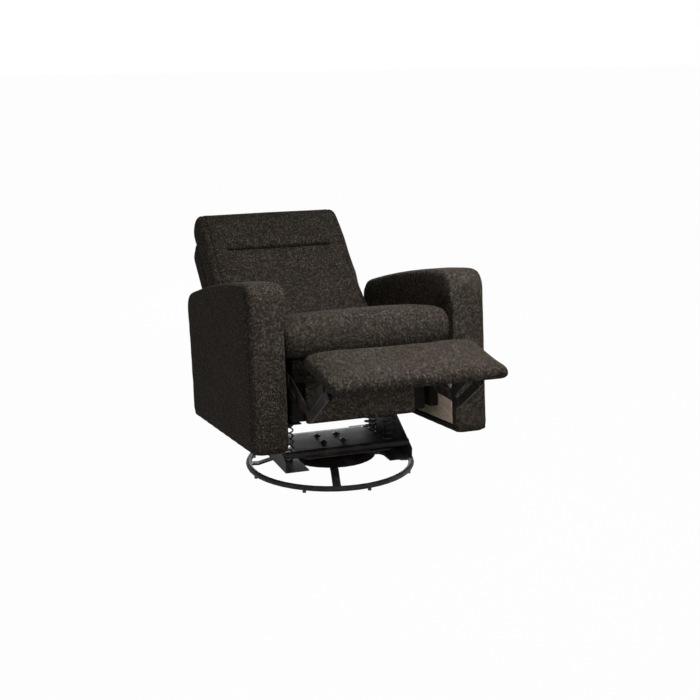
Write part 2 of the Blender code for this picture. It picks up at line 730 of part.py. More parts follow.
def make_seat_cushion(parent):
    half = SEAT_HALF_WIDTH
    middle = (SEAT_NOSE + SEAT_REAR) / 2
    reach = (SEAT_REAR - SEAT_NOSE) / 2

    def soften(x, y, z):
        across = x / half
        along = (y - middle) / reach
        spine = deck_underside(y) + DECK_THICKNESS + FIT - ROCK_HEIGHT
        lift = max(0.0, z - spine)
        crown = SEAT_CROWN * across ** 4 * min(1.0, lift / (SEAT_NOSE_TOP - SEAT_NOSE_BOTTOM))
        return (x * (1 - SEAT_DRAW / half * (1 - along ** 2)), y, z - crown)

    solid = rounded_slab(seat_outline(), -half, half, SEAT_EDGE, PAD_SPANS, soften)
    add_piece("seat_cushion", solid, parent, FABRIC)


def arm_outline():
    corners = [(ARM_FRONT, ARM_BOTTOM, ARM_FOOT_CORNER), (ARM_REAR_FOOT, ARM_BOTTOM, ARM_FOOT_CORNER),
               (ARM_REAR_TOP, ARM_TOP - ARM_FALL, ARM_TOP_CORNER)]
    for k in range(1, LONG_STEPS):
        share = 1 - k / LONG_STEPS
        y = ARM_FRONT + (ARM_REAR_TOP - ARM_FRONT) * share
        corners.append((y, ARM_TOP - ARM_FALL * share ** ARM_ARCH_POWER, 0))
    corners.append((ARM_FRONT, ARM_TOP, ARM_TOP_CORNER))
    return levels(rounded(corners))


def board_outline(play=0.0):
    front = ARM_FRONT + BOARD_WRAP
    corners = [(front - play, BOARD_BOTTOM - play), (BOARD_REAR + play, BOARD_BOTTOM - play),
               (BOARD_REAR + play, BOARD_TOP + play), (front - play, BOARD_TOP + play)]
    return levels(corners)


def make_arm(parent, hand, side):
    """An upholstered arm with a pocket in its inner face, and the bare board in the pocket."""
    low, high = sorted((side * INNER_HALF, side * CHAIR_WIDTH / 2))
    padding = rounded_slab(arm_outline(), low, high, ARM_EDGE, CURVE_STEPS)
    arm = add_piece(f"arm_{hand}", padding, parent, FABRIC)
    floor = side * (INNER_HALF + BOARD_THICKNESS + FIT)
    mouth = side * (INNER_HALF - BOARD_THICKNESS)
    pocket = add_piece(f"pocket_{hand}", plate(board_outline(FIT), mouth, floor), parent, FABRIC)
    pocket.hide_render = True
    pocket.display_type = "WIRE"
    cut = arm.modifiers.new("pocket", "BOOLEAN")
    cut.operation = "DIFFERENCE"
    cut.object = pocket
    board = plate(board_outline(), side * INNER_HALF, side * (INNER_HALF + BOARD_THICKNESS))
    add_piece(f"arm_board_{hand}", board, parent, BARE_WOOD)


def make_hinge_plate(parent, hand, side):
    pivot = level(BACK_PIVOT_Y, BACK_PIVOT_HEIGHT)
    outline = bar([level(HINGE_FOOT_Y, HINGE_FOOT_HEIGHT), pivot], HINGE_HALF_WIDTH)
    hole = (pivot, HINGE_PIN_RADIUS + PIN_PLAY)
    solid = plate(outline, side * HINGE_INNER, side * HINGE_OUTER, holes=[hole])
    add_piece(f"hinge_plate_{hand}", solid, parent, BLACK_STEEL)


# Back, drawn upright about its hinge; +Y is behind it

def face_height(s):
    """How far the cushion's face stands in front of the hinge, s up from the hinge."""
    hollow = BACK_HOLLOW * max(0.0, 1 - ((s - BACK_HOLLOW_AT) / BACK_HOLLOW_AT) ** 2)
    head_reach = BACK_LENGTH - BACK_HEAD_AT
    bulge = BACK_HEAD_BULGE * max(0.0, 1 - ((s - BACK_HEAD_AT) / head_reach) ** 2)
    return BACK_ROLL - hollow + bulge


def back_outline():
    top = BACK_LENGTH - BACK_TOP_CORNER
    rear = rounded([(BACK_ROLL, 0.0, 0), (BACK_ROLL, BACK_LENGTH, BACK_TOP_CORNER),
                    (-face_height(top), BACK_LENGTH, BACK_TOP_CORNER), (-face_height(top), top, 0)])
    places = [top * (1 - k / FACE_STEPS) for k in range(1, FACE_STEPS)]
    face = [(-face_height(s), s) for s in places]
    roll = arc((0.0, 0.0), BACK_ROLL, pi, 2 * pi, ROUND_STEPS)
    return rear[1:-1] + face + roll[:-1] + [rear[0]]


def tuck_depth(x, s):
    """The sewn crease under the headrest, fading out before the sides."""
    reach = abs(s - BACK_TUCK_AT) / BACK_TUCK_REACH
    inside = 1 - (x / BACK_TUCK_HALF_WIDTH) ** 2
    if reach >= 1 or inside <= 0:
        return 0.0
    return BACK_TUCK_DEPTH * (1 + cos(pi * reach)) / 2 * sqrt(inside)


def make_back_cushion(parent):
    half = BACK_HALF_WIDTH

    def soften(x, y, z):
        along = (2 * z - BACK_LENGTH) / (BACK_LENGTH + 2 * BACK_ROLL)
        sunk = tuck_depth(x, z) if y < 0 else 0.0
        return (x * (1 - BACK_DRAW / half * (1 - along ** 2)), y + sunk, z)

    solid = rounded_slab(back_outline(), -half, half, BACK_EDGE, PAD_SPANS, soften)
    add_piece("back_cushion", solid, parent, FABRIC)


def make_back_shell(parent):
    near = BACK_ROLL + FIT
    far = near + SHELL_THICKNESS
    middle = (SHELL_TOP + SHELL_BOTTOM) / 2
    outline = rounded([(near, SHELL_BOTTOM, 0), (far, SHELL_BOTTOM, SHELL_CORNER),
                       (far + SHELL_SWELL, middle, 0), (far, SHELL_TOP, SHELL_CORNER), (near, SHELL_TOP, 0)])
    solid = rounded_slab(outline, -BACK_HALF_WIDTH, BACK_HALF_WIDTH, SHELL_EDGE, PAD_SPANS)
    add_piece("back_shell", solid, parent, FABRIC)


def make_back_strap(parent, hand, side):
    """A steel strap on the side of the back, with the hinge pin standing on it."""
    inner = side * (BACK_HALF_WIDTH + FIT)
    outer = inner + side * HINGE_WALL
    pin = ((0.0, 0.0), HINGE_PIN_RADIUS, side * HINGE_OUTER)
    outline = bar([(0.0, 0.0), (STRAP_DROP, STRAP_REACH)], HINGE_HALF_WIDTH)
    add_piece(f"back_strap_{hand}", plate(outline, inner, outer, pins=[pin]), parent, BLACK_STEEL)


# Footrest linkage. Layer 0 is next to the side plate, layer 3 is innermost.

def layer(number, side):
    outer = SIDE_PLATE_INNER - LINK_GAP - number * LINK_PITCH
    return side * outer, side * (outer - LINK_WALL)


def heading(length, droop):
    """A step forwards, that is along -Y, that droops by an angle."""
    return (-length * cos(droop), -length * sin(droop))


def pin_hole(centre):
    return (centre, LINK_PIN_RADIUS + PIN_PLAY)


def make_side_plate(parent, hand, side):
    """The fixed plate on the seat rail, with both swing pivots on it."""
    front = (FRONT_PIVOT_Y, FRONT_PIVOT_HEIGHT)
    rear = (FRONT_PIVOT_Y + REAR_PIVOT_BEHIND, FRONT_PIVOT_HEIGHT + REAR_PIVOT_ABOVE)
    ear = SIDE_PLATE_EAR
    neck = front[1] - SIDE_PLATE_NECK_DROP
    foot_top = front[1] - SIDE_PLATE_FOOT_DROP
    corners = [(MOUNT_WING_FRONT, MOUNT_BOTTOM, 0), (MOUNT_HALF_LENGTH, MOUNT_BOTTOM, 0),
               (MOUNT_HALF_LENGTH, REAR_RAIL_TOP, ear), (rear[0], rear[1] + SIDE_PLATE_CREST, ear),
               (front[0] - ear, front[1] + ear, ear / 2), (front[0] - ear, front[1] - ear, ear / 2),
               (SIDE_PLATE_NECK_Y, neck, ear), (MOUNT_WING_FRONT, foot_top, ear)]
    tip = layer(1, side)[1]
    pins = [(level(*pivot), LINK_PIN_RADIUS, tip) for pivot in (front, rear)]
    solid = plate(levels(rounded(corners)), side * SIDE_PLATE_OUTER, side * SIDE_PLATE_INNER, pins=pins)
    add_piece(f"side_plate_{hand}", solid, parent, BLACK_STEEL)


def make_rear_swing(parent, hand, side):
    end = heading(SWING_LENGTH, SWING_DROOP)
    outline = bar([(0.0, 0.0), end], LINK_HALF_WIDTH)
    solid = plate(outline, *layer(1, side), holes=[pin_hole((0.0, 0.0)), pin_hole(end)])
    add_piece(f"rear_swing_link_{hand}", solid, parent, BLACK_STEEL)


def make_torque_tube(parent):
    half = abs(layer(1, 1)[1]) - FIT
    add_piece("torque_tube", tube_across(TORQUE_TUBE_RADIUS, half, 0.0, 0.0), parent, BLACK_STEEL)


def make_front_swing(parent, hand, side):
    knee = heading(SWING_LENGTH, SWING_DROOP)
    tail = heading(SWING_LENGTH + SWING_TAIL, SWING_DROOP)
    holes = [pin_hole(eye) for eye in ((0.0, 0.0), knee, tail)]
    solid = plate(bar([(0.0, 0.0), tail], LINK_HALF_WIDTH), *layer(1, side), holes=holes)
    add_piece(f"front_swing_link_{hand}", solid, parent, BLACK_STEEL)


def make_carrier(parent, hand, side):
    """The bent link from the rear swing, past the front swing, to the footrest's rear eye."""
    rear_eye = (REAR_PIVOT_BEHIND, REAR_PIVOT_ABOVE)
    front_eye = heading(CARRIER_REACH, -CARRIER_RISE)
    inner, outer = layer(2, side)[1], layer(2, side)[0]
    tip = layer(1, side)[0]
    pins = [(eye, LINK_PIN_RADIUS, tip) for eye in (rear_eye, (0.0, 0.0))]
    outline = bar([rear_eye, (0.0, 0.0), front_eye], LINK_HALF_WIDTH)
    solid = plate(outline, inner, outer, holes=[pin_hole(front_eye)], pins=pins)
    add_piece(f"carrier_link_{hand}", solid, parent, BLACK_STEEL)


def front_eye_from_tail():
    """From the front swing's tail eye to the footrest's front eye."""
    tail = heading(SWING_TAIL, SWING_DROOP)
    rear_eye = heading(CARRIER_REACH, -CARRIER_RISE)
    step = heading(FOOTREST_EYE_SPACING, FOOTREST_SLOPE)
    return (rear_eye[0] + step[0] - tail[0], rear_eye[1] + step[1] - tail[1])


def make_footrest_link(parent, hand, side):
    outline = bar([(0.0, 0.0), front_eye_from_tail()], LINK_HALF_WIDTH)
    pin = ((0.0, 0.0), LINK_PIN_RADIUS, layer(1, side)[1])
    add_piece(f"footrest_link_{hand}", plate(outline, *layer(0, side), pins=[pin]), parent, BLACK_STEEL)


# Footrest, drawn flat about its rear eye

def footrest_span():
    """Rear and front edge of the footrest, along Y."""
    return FOOTREST_BEHIND_EYE, FOOTREST_BEHIND_EYE - FOOTREST_LENGTH


def make_footrest_bracket(parent, hand, side):
    reach = LINK_HALF_WIDTH
    top = FOOTREST_ABOVE_EYE - FIT
    front = -FOOTREST_EYE_SPACING
    corners = [(front - reach, -reach, reach), (reach, -reach, reach),
               (2 * reach, top, 0), (front - 2 * reach, top, 0)]
    inner, outer = layer(3, side)[1], layer(3, side)[0]
    pins = [((0.0, 0.0), LINK_PIN_RADIUS, layer(2, side)[0]),
            ((front, 0.0), LINK_PIN_RADIUS, layer(0, side)[1] - side * FIT)]
    solid = plate(rounded(corners), inner, outer, pins=pins)
    add_piece(f"footrest_bracket_{hand}", solid, parent, BLACK_STEEL)


def make_footrest_top(parent):
    rear, front = footrest_span()
    margin = FOOTREST_BOARD_MARGIN
    board_top = FOOTREST_ABOVE_EYE + FOOTREST_BOARD_WALL
    half = FOOTREST_HALF_WIDTH - FOOTREST_BOARD_SIDE
    board = [(front + margin, FOOTREST_ABOVE_EYE), (rear - margin, FOOTREST_ABOVE_EYE),
             (rear - margin, board_top), (front + margin, board_top)]
    add_piece("footrest_board", plate(board, -half, half), parent, BARE_WOOD)

    low = board_top + FIT
    high = low + FOOTREST_PAD_HEIGHT
    corner = FOOTREST_PAD_CORNER
    outline = rounded([(front, low, corner), (rear, low, corner), (rear, high, corner)]
                      + [(rear + (front - rear) * k / LONG_STEPS, high, 0) for k in range(1, LONG_STEPS)]
                      + [(front, high, corner)])
    middle = (rear + front) / 2
    width = FOOTREST_HALF_WIDTH

    def soften(x, y, z):
        across = x / width
        along = (y - middle) / (FOOTREST_LENGTH / 2)
        share = (z - low) / FOOTREST_PAD_HEIGHT
        crown = FOOTREST_CROWN * share * (1 - (1 - across ** 4) * (1 - along ** 4))
        return (x * (1 - FOOTREST_DRAW / width * (1 - along ** 2)), y, z - crown)

    solid = rounded_slab(outline, -width, width, FOOTREST_EDGE, PAD_SPANS, soften)
    add_piece("footrest_pad", solid, parent, FABRIC)


def main():
    clear_scene()
    base = axis_empty("floor_centre", None, (0.0, SWIVEL_Y, 0.0))
    turntable = axis_empty("swivel_axis", base, (0.0, 0.0, 0.0))
    chair = axis_empty("rock_axis", turntable, (0.0, 0.0, ROCK_HEIGHT), -REST_TIP)
    back = axis_empty("back_axis", chair, (0.0, *level(BACK_PIVOT_Y, BACK_PIVOT_HEIGHT)), -RECLINE)
    front_pivot = level(FRONT_PIVOT_Y, FRONT_PIVOT_HEIGHT)
    rear_pivot = (front_pivot[0] + REAR_PIVOT_BEHIND, front_pivot[1] + REAR_PIVOT_ABOVE)
    front_swing = axis_empty("front_swing_axis", chair, (0.0, *front_pivot))
    rear_swing = axis_empty("rear_swing_axis", chair, (0.0, *rear_pivot))
    carrier = axis_empty("carrier_axis", front_swing, (0.0, *heading(SWING_LENGTH, SWING_DROOP)))
    tail_place = heading(SWING_LENGTH + SWING_TAIL, SWING_DROOP)
    footrest_link = axis_empty("footrest_link_axis", front_swing, (0.0, *tail_place))
    eye_place = heading(CARRIER_REACH, -CARRIER_RISE)
    footrest = axis_empty("footrest_axis", carrier, (0.0, *eye_place), FOOTREST_SLOPE)

    make_ring(base)
    make_glides(base)
    make_cross(base)
    make_hub(base)
    make_turntable(turntable)
    make_seat_box(chair)
    make_front(chair)
    make_seat_cushion(chair)
    make_back_cushion(back)
    make_back_shell(back)
    make_torque_tube(rear_swing)
    make_footrest_top(footrest)
    for hand, side in (("left", 1), ("right", -1)):
        make_side_bracket(turntable, hand, side)
        make_springs(turntable, hand, side)
        make_rocker(chair, hand, side)
        make_seat_rail(chair, hand, side)
        make_arm(chair, hand, side)
        make_hinge_plate(chair, hand, side)
        make_side_plate(chair, hand, side)
        make_back_strap(back, hand, side)
        make_rear_swing(rear_swing, hand, side)
        make_front_swing(front_swing, hand, side)
        make_carrier(carrier, hand, side)
        make_footrest_link(footrest_link, hand, side)
        make_footrest_bracket(footrest, hand, side)


main()
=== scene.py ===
"""Looks of the swivel rocker recliner: woven upholstery, black steel works, bare boards, fasteners."""

import json
from math import cos, pi, radians, sin

import bpy
import numpy as np
from mathutils import Matrix, Vector


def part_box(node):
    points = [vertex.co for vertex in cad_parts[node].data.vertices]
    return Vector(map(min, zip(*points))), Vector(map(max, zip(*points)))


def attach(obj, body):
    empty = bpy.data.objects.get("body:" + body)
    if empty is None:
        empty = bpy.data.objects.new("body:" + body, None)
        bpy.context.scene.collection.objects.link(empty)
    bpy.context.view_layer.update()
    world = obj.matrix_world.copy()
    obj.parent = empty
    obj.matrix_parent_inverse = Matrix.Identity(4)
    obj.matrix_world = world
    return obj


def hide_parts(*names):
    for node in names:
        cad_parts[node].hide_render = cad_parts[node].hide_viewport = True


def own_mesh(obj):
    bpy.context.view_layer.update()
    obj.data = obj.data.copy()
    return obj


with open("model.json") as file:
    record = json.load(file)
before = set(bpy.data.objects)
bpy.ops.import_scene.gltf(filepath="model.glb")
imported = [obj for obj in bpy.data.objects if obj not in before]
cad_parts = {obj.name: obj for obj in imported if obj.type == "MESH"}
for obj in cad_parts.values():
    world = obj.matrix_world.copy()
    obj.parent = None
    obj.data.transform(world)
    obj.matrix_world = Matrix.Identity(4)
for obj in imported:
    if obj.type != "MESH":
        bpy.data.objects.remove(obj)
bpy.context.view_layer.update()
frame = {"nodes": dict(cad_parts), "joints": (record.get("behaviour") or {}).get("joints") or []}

# Tilts of the three upholstered frames about the X axis
CHAIR_TILT = radians(-6.3)
BACK_TILT = CHAIR_TILT + radians(-47.0)
FOOTREST_TILT = CHAIR_TILT + radians(11.0)

# Camera, fitted to the photo
CAMERA_TURN = radians(20.39)
CAMERA_LIFT = radians(14.29)
CAMERA_DISTANCE = 4.2975
CAMERA_LENS = 67.68
CAMERA_SENSOR = 36.0
CAMERA_TARGET = Vector((0.0705, -0.0044, 0.3879))

# Floor and sky
FLOOR_SIZE = 60.0
FLOOR_GREY = 0.20
FLOOR_WHITE = 0.980
SKY_LIGHT = 0.02

# Cloth: its grid, its threads and its seams
VOXEL = 0.0080
MERGE_DISTANCE = 0.00002
THREAD_LENGTH = 0.0034
THREAD_PITCH = 0.0033
ROW_DRIFT = 0.0004
FLOAT_DRIFT = 0.0005
SEAM_DEPTH = 0.0030
SEAM_REACH = 0.0060
# Seam depth at which the painted shade in a seam is darkest
DARKEST_SEAM_SHADE_DEPTH = 0.010

# Filling: how hard and how long it presses, and how far the cloth may sink
FILL_PRESSURE = 4.0
FILL_FRAMES = 20
SINK = 0.0010

# Room for the filling, by the way the cloth faces
SEAT_LEAST_ROOM = 0.0008
SEAT_CROWN_ROOM = 0.0022
BACK_LEAST_ROOM = 0.001
BACK_FRONT_ROOM = 0.006
BACK_TOP_ROOM = 0.007
BACK_SIDE_ROOM = 0.002
ARM_LEAST_ROOM = 0.0008
ARM_OUTER_ROOM = 0.003
ARM_FRONT_ROOM = 0.003
ARM_TOP_ROOM = 0.004
PAD_LEAST_ROOM = 0.0004
PAD_TOP_ROOM = 0.005
PAD_EDGE_ROOM = 0.003

# Seams, measured in from the edge of their piece
SEAT_SEAM_INSET = 0.020
BACK_SEAM_INSET = 0.019
SHELL_SEAM_INSET = 0.014
ARM_SEAM_INSET = 0.020
ARM_SEAM_DEPTH = 0.0012

# Head of the back, from where it starts to widen to where it is widest, up from the hinge
HEAD_SPREAD = 0.008
SPREAD_START = 0.12
SPREAD_END = 0.20

# Tuck under the head: its fold, its two ends, the pinch near each end, and the cloth just above it
TUCK_HEIGHT = 0.317
TUCK_PULL = 0.020
TUCK_WIDTH = 0.0068
TUCK_BAND = 0.020
TUCK_CUTS = 2
TUCK_FADE_START = 0.182
TUCK_FADE_END = 0.196
PINCH_PLACE = 0.180
PINCH_WIDTH = 0.012
PINCH_SHARE = 0.35
PILLOW_SWELL = 0.007
PILLOW_RISE = 0.026
PILLOW_WIDTH = 0.018
LIP_DROP = 0.0035
LIP_RISE = 0.006
LIP_WIDTH = 0.007

# Arms: sewn edges, the inner bulge behind the front, and the cloth that clears the bare board
ARM_EDGE = 0.020
EDGE_POWER = 5
BULGE = 0.011
BULGE_LENGTH = 0.150
BULGE_FULL_LENGTH = 0.040
BULGE_DEPTH = 0.120
BULGE_FULL_DEPTH = 0.060
BOARD_MARGIN = 0.004
BOARD_REACH = 0.014
BOARD_CLEARANCE = 0.0006

# Footrest pad: the lift of its top, with the share of its height and length where that starts
PAD_REAR_LIFT = 0.009
PAD_LIFT_HEIGHT = 0.25
PAD_LIFT_LENGTH = 0.2
PAD_LIFT_MARGIN = 0.010
PAD_SPREAD = 0.002

# Linkage
EYE_SPACING = 0.060

# Coil springs
WIRE_RADIUS = 0.0025
WIRE_SIDES = 10
ACTIVE_TURNS = 6
TURN_STEPS = 28
CLOSED_RISE = 2.1 * WIRE_RADIUS
REAR_PLAY = 0.0058

# Fasteners
ROUND_SIDES = 20
RIVET_RADIUS = 0.0062
RIVET_HEIGHT = 0.0016
RIVET_RIM = 0.0010
BOLT_RADIUS = 0.0065
BOLT_HEIGHT = 0.0055
PLATE_BOLT_SPREAD = 0.034
BAR_BOLT_INSET = 0.030
STAPLE_LENGTH = 0.011
STAPLE_WIRE = 0.0010
STAPLE_INSET = 0.009
STAPLES_ALONG = 15
STAPLES_UP = 6
STAPLE_ROW_MARGIN = 0.018
STAPLE_RISE_START = 0.030
STAPLE_RISE_END = 0.020
FASTENER_SMOOTHING = radians(35.0)
COIL_SMOOTHING = radians(50.0)

# Joint axes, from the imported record
AXIS = {joint["name"]: Vector(joint["pos_m"]) for joint in frame["joints"]}
SIDES = (("left", 1), ("right", -1))


# Shader building

class Value:
    """A shader socket that works in Python sums."""

    def __init__(self, finish, socket):
        self.finish = finish
        self.socket = socket

    def worked(self, operation, *terms):
        inputs = dict(enumerate(terms))
        return self.finish.node("ShaderNodeMath", {"operation": operation}, inputs)

    def __add__(self, other):
        return self.worked("ADD", self, other)

    def __radd__(self, other):
        return self.worked("ADD", other, self)

    def __sub__(self, other):
        return self.worked("SUBTRACT", self, other)

    def __rsub__(self, other):
        return self.worked("SUBTRACT", other, self)

    def __mul__(self, other):
        return self.worked("MULTIPLY", self, other)

    def __truediv__(self, other):
        return self.worked("DIVIDE", self, other)

    def __pow__(self, other):
        return self.worked("POWER", self, other)

    def floor(self):
        return self.worked("FLOOR", self)

    def fraction(self):
        return self.worked("FRACT", self)

    def remainder(self, divisor):
        return self.worked("FLOORED_MODULO", self, divisor)


class Finish:
    """One material while its nodes are added."""

    def __init__(self, name):
        self.material = bpy.data.materials.new(name)
        self.material.use_nodes = True
        self.tree = self.material.node_tree
        self.shader = self.tree.nodes["Principled BSDF"]

    def feed(self, socket, value):
        if isinstance(value, Value):
            self.tree.links.new(value.socket, socket)
        else:
            socket.default_value = value

    def node(self, kind, settings=None, inputs=None, output=0):
        made = self.tree.nodes.new(kind)
        for name, value in (settings or {}).items():
            if name == "stops":
                set_stops(made.color_ramp, value)
            else:
                setattr(made, name, value)
        for name, value in (inputs or {}).items():
            self.feed(made.inputs[name], value)
        return Value(self, made.outputs[output])

    def noise(self, place, scale, detail=2.0, roughness=0.5):
        inputs = {"Vector": place, "Scale": scale, "Detail": detail, "Roughness": roughness}
        return self.node("ShaderNodeTexNoise", None, inputs)

    def ramp(self, factor, stops):
        return self.node("ShaderNodeValToRGB", {"stops": stops}, {"Fac": factor})

    def mixed(self, factor, first, second):
        return self.node("ShaderNodeMix", {"data_type": "RGBA"}, {0: factor, 6: first, 7: second}, 2)

    def stretched(self, place, scale):
        return self.node("ShaderNodeVectorMath", {"operation": "MULTIPLY"}, {0: place, 1: scale})

    def spot(self, x, y, z=0.0):
        return self.node("ShaderNodeCombineXYZ", None, {"X": x, "Y": y, "Z": z})

    def object_place(self):
        return self.node("ShaderNodeTexCoord", None, None, "Object")

    def surface(self, **sockets):
        for name, value in sockets.items():
            self.feed(self.shader.inputs[name.replace("_", " ")], value)

    def relief(self, height, strength, distance):
        inputs = {"Height": height, "Strength": strength, "Distance": distance}
        self.surface(Normal=self.node("ShaderNodeBump", None, inputs))


def set_stops(ramp, stops):
    """Puts (position, grey or colour) stops on a colour ramp."""
    while len(ramp.elements) < len(stops):
        ramp.elements.new(0.5)
    for element, (position, colour) in zip(ramp.elements, stops):
        element.position = position
        element.color = opaque(colour)


def opaque(colour):
    if isinstance(colour, float):
        colour = (colour, colour, colour)
    return (*colour, 1.0)


def woven_tweed():
    """Coarse charcoal brown cloth: a plain weave of thick threads, with paler flecks and faint slubs.

    The weave attribute holds where on the cloth a corner lies, and in Z how deep it is in a seam or the
    tuck; that depth darkens the cloth there as painted shade.
    """
    cloth = Finish("woven_tweed")
    place = cloth.node("ShaderNodeAttribute", {"attribute_name": "weave"}, None, "Vector")
    lie = cloth.node("ShaderNodeSeparateXYZ", None, {0: place}, "X")
    rise = cloth.node("ShaderNodeSeparateXYZ", None, {0: place}, "Y")
    seam = cloth.node("ShaderNodeSeparateXYZ", None, {0: place}, "Z")
    drift = cloth.noise(place, scale=45.0, detail=2.0) - 0.5
    rows = (rise + drift * ROW_DRIFT) / THREAD_PITCH
    floats = (lie + drift * FLOAT_DRIFT) / THREAD_LENGTH
    row = rows.floor()
    column = floats.floor()
    raised = (row + column).remainder(2.0)
    cell = {"Vector": cloth.spot(column, row)}
    chance = cloth.node("ShaderNodeTexWhiteNoise", {"noise_dimensions": "2D"}, cell)
    # Thread profile: the weave pattern, with painted shade in the gaps between threads and on the threads
    # that lie under
    across = 1 - (rows.fraction() * 2 - 1) ** 2.0
    along = 1 - (floats.fraction() * 2 - 1) ** 2.0
    thread = across * along * (0.28 + raised * 0.72)
    yarn = cloth.ramp(chance, (
        (0.00, (0.0290, 0.0239, 0.0187)),
        (0.50, (0.0640, 0.0538, 0.0431)),
        (0.85, (0.1100, 0.0937, 0.0763)),
        (1.00, (0.1900, 0.1637, 0.1352)),
    ))
    slub = cloth.noise(cloth.stretched(place, (14.0, 190.0, 0.0)), scale=1.0, detail=2.0)
    shade = cloth.noise(place, scale=6.0, detail=3.0)
    # Colour multiplier: random tone from slubs and patches, painted shade from the thread profile, and
    # painted shade in seams and the tuck
    tone_and_shade = (slub * 0.40 + shade * 0.30 + 0.35) * (0.24 + thread * 2.05) * (1 - seam * 0.88)
    grey = cloth.node("ShaderNodeCombineColor", None, {"Red": tone_and_shade, "Green": tone_and_shade, "Blue": tone_and_shade})
    inputs = {0: 1.0, 6: yarn, 7: grey}
    colour = cloth.node("ShaderNodeMix", {"data_type": "RGBA", "blend_type": "MULTIPLY"}, inputs, 2)
    cloth.surface(Base_Color=colour, Roughness=0.78 + chance * 0.18, Specular_IOR_Level=0.02)
    cloth.relief(thread + slub * 0.2, strength=0.80, distance=0.0012)
    return cloth.material


def black_paint():
    """Black stoved enamel with a slight orange peel and dull rubbed patches."""
    paint = Finish("black_paint")
    place = paint.object_place()
    peel = paint.noise(place, scale=420.0, detail=2.0)
    rubbed = paint.noise(place, scale=26.0, detail=5.0, roughness=0.62)
    wear = paint.ramp(rubbed, ((0.46, 0.0), (0.76, 1.0)))
    colour = paint.mixed(wear, opaque((0.0125, 0.0108, 0.0102)), opaque((0.0520, 0.0436, 0.0395)))
    paint.surface(Base_Color=colour, Roughness=0.38 + rubbed * 0.30, Specular_IOR_Level=0.13)
    paint.relief(peel, strength=0.10, distance=0.0006)
    return paint.material


def oiled_steel():
    """Dark oil-blacked spring and rivet steel with paler rubbed streaks."""
    steel = Finish("oiled_steel")
    place = steel.object_place()
    stain = steel.noise(place, scale=60.0, detail=4.0, roughness=0.6)
    streak = steel.noise(steel.stretched(place, (1.0, 1.0, 5.0)), scale=140.0, detail=3.0)
    rub = steel.ramp(streak, ((0.45, 0.0), (0.75, 1.0)))
    colour = steel.mixed(rub, opaque((0.030, 0.028, 0.027)), opaque((0.110, 0.104, 0.100)))
    steel.surface(Base_Color=colour, Metallic=0.85, Roughness=0.30 + stain * 0.30)
    steel.relief(stain, strength=0.12, distance=0.0004)
    return steel.material


def zinc_plate():
    """Bright zinc with a cloudy crystal bloom."""
    zinc = Finish("zinc_plate")
    place = zinc.object_place()
    bloom = zinc.node("ShaderNodeTexVoronoi", None, {"Vector": place, "Scale": 120.0}, "Color")
    cloud = zinc.noise(place, scale=40.0, detail=4.0, roughness=0.6)
    shade = zinc.node("ShaderNodeRGBToBW", None, {0: bloom})
    colour = zinc.ramp(shade * 0.4 + cloud * 0.6, ((0.2, (0.26, 0.26, 0.25)), (0.8, (0.50, 0.49, 0.46))))
    zinc.surface(Base_Color=colour, Metallic=1.0, Roughness=0.30 + cloud * 0.25)
    zinc.relief(shade, strength=0.06, distance=0.0003)
    return zinc.material


def raw_board(name, grain_axis):
    """Sawn pale pine: long grain bands, fine pores and a little grime."""
    board = Finish(name)
    place = board.object_place()
    along = [26.0, 26.0, 26.0]
    along[grain_axis] = 2.2
    fine = [420.0, 420.0, 420.0]
    fine[grain_axis] = 16.0
    bend = board.noise(board.stretched(place, tuple(along)), scale=1.0, detail=4.0, roughness=0.55)
    rings = (bend * 9.0).fraction()
    pores = board.noise(board.stretched(place, tuple(fine)), scale=1.0, detail=2.0)
    grime = board.noise(place, scale=14.0, detail=4.0, roughness=0.6)
    wood = board.ramp(rings * 0.55 + pores * 0.45, (
        (0.15, (0.560, 0.410, 0.300)),
        (0.55, (0.740, 0.590, 0.460)),
        (0.95, (0.840, 0.720, 0.590)),
    ))
    dirt = board.ramp(grime, ((0.52, 0.0), (0.85, 0.55)))
    colour = board.mixed(dirt, wood, opaque((0.26, 0.175, 0.115)))
    board.surface(Base_Color=colour, Roughness=0.66 + pores * 0.22, Specular_IOR_Level=0.3)
    board.relief(pores + rings * 0.3, strength=0.30, distance=0.0006)
    return board.material


def black_lining():
    """Thin black felted lining: a tangle of fine fibres and a few pale lint specks. Its near-black colour
    on the rails and deck under the seat is partly a real dust cloth and partly painted shade.
    """
    felt = Finish("black_lining")
    place = felt.object_place()
    tangle = felt.noise(place, scale=320.0, detail=5.0, roughness=0.7)
    lint = felt.ramp(felt.noise(place, scale=210.0, detail=2.0), ((0.66, 0.0), (0.80, 1.0)))
    shade = felt.ramp(tangle, ((0.30, (0.0060, 0.0056, 0.0052)), (0.75, (0.0200, 0.0188, 0.0175))))
    colour = felt.mixed(lint * 0.5, shade, opaque((0.040, 0.037, 0.034)))
    felt.surface(Base_Color=colour, Roughness=0.86 + tangle * 0.12, Specular_IOR_Level=0.06)
    felt.relief(tangle, strength=0.50, distance=0.0006)
    return felt.material


def moulded_plastic():
    """Black glide plastic with a fine moulded grain."""
    plastic = Finish("moulded_plastic")
    place = plastic.object_place()
    grain = plastic.noise(place, scale=900.0, detail=2.0)
    scuff = plastic.noise(place, scale=90.0, detail=4.0, roughness=0.6)
    colour = plastic.ramp(scuff, ((0.35, (0.010, 0.010, 0.010)), (0.80, (0.035, 0.034, 0.033))))
    plastic.surface(Base_Color=colour, Roughness=0.42 + scuff * 0.25)
    plastic.relief(grain, strength=0.20, distance=0.0003)
    return plastic.material


TWEED = woven_tweed()
PAINT = black_paint()
OILED = oiled_steel()
ZINC = zinc_plate()
BOARD_LONG = raw_board("raw_board_long", 1)
BOARD_WIDE = raw_board("raw_board_wide", 0)
LINING_AND_SHADE = black_lining()
PLASTIC = moulded_plastic()


# Modelling helpers

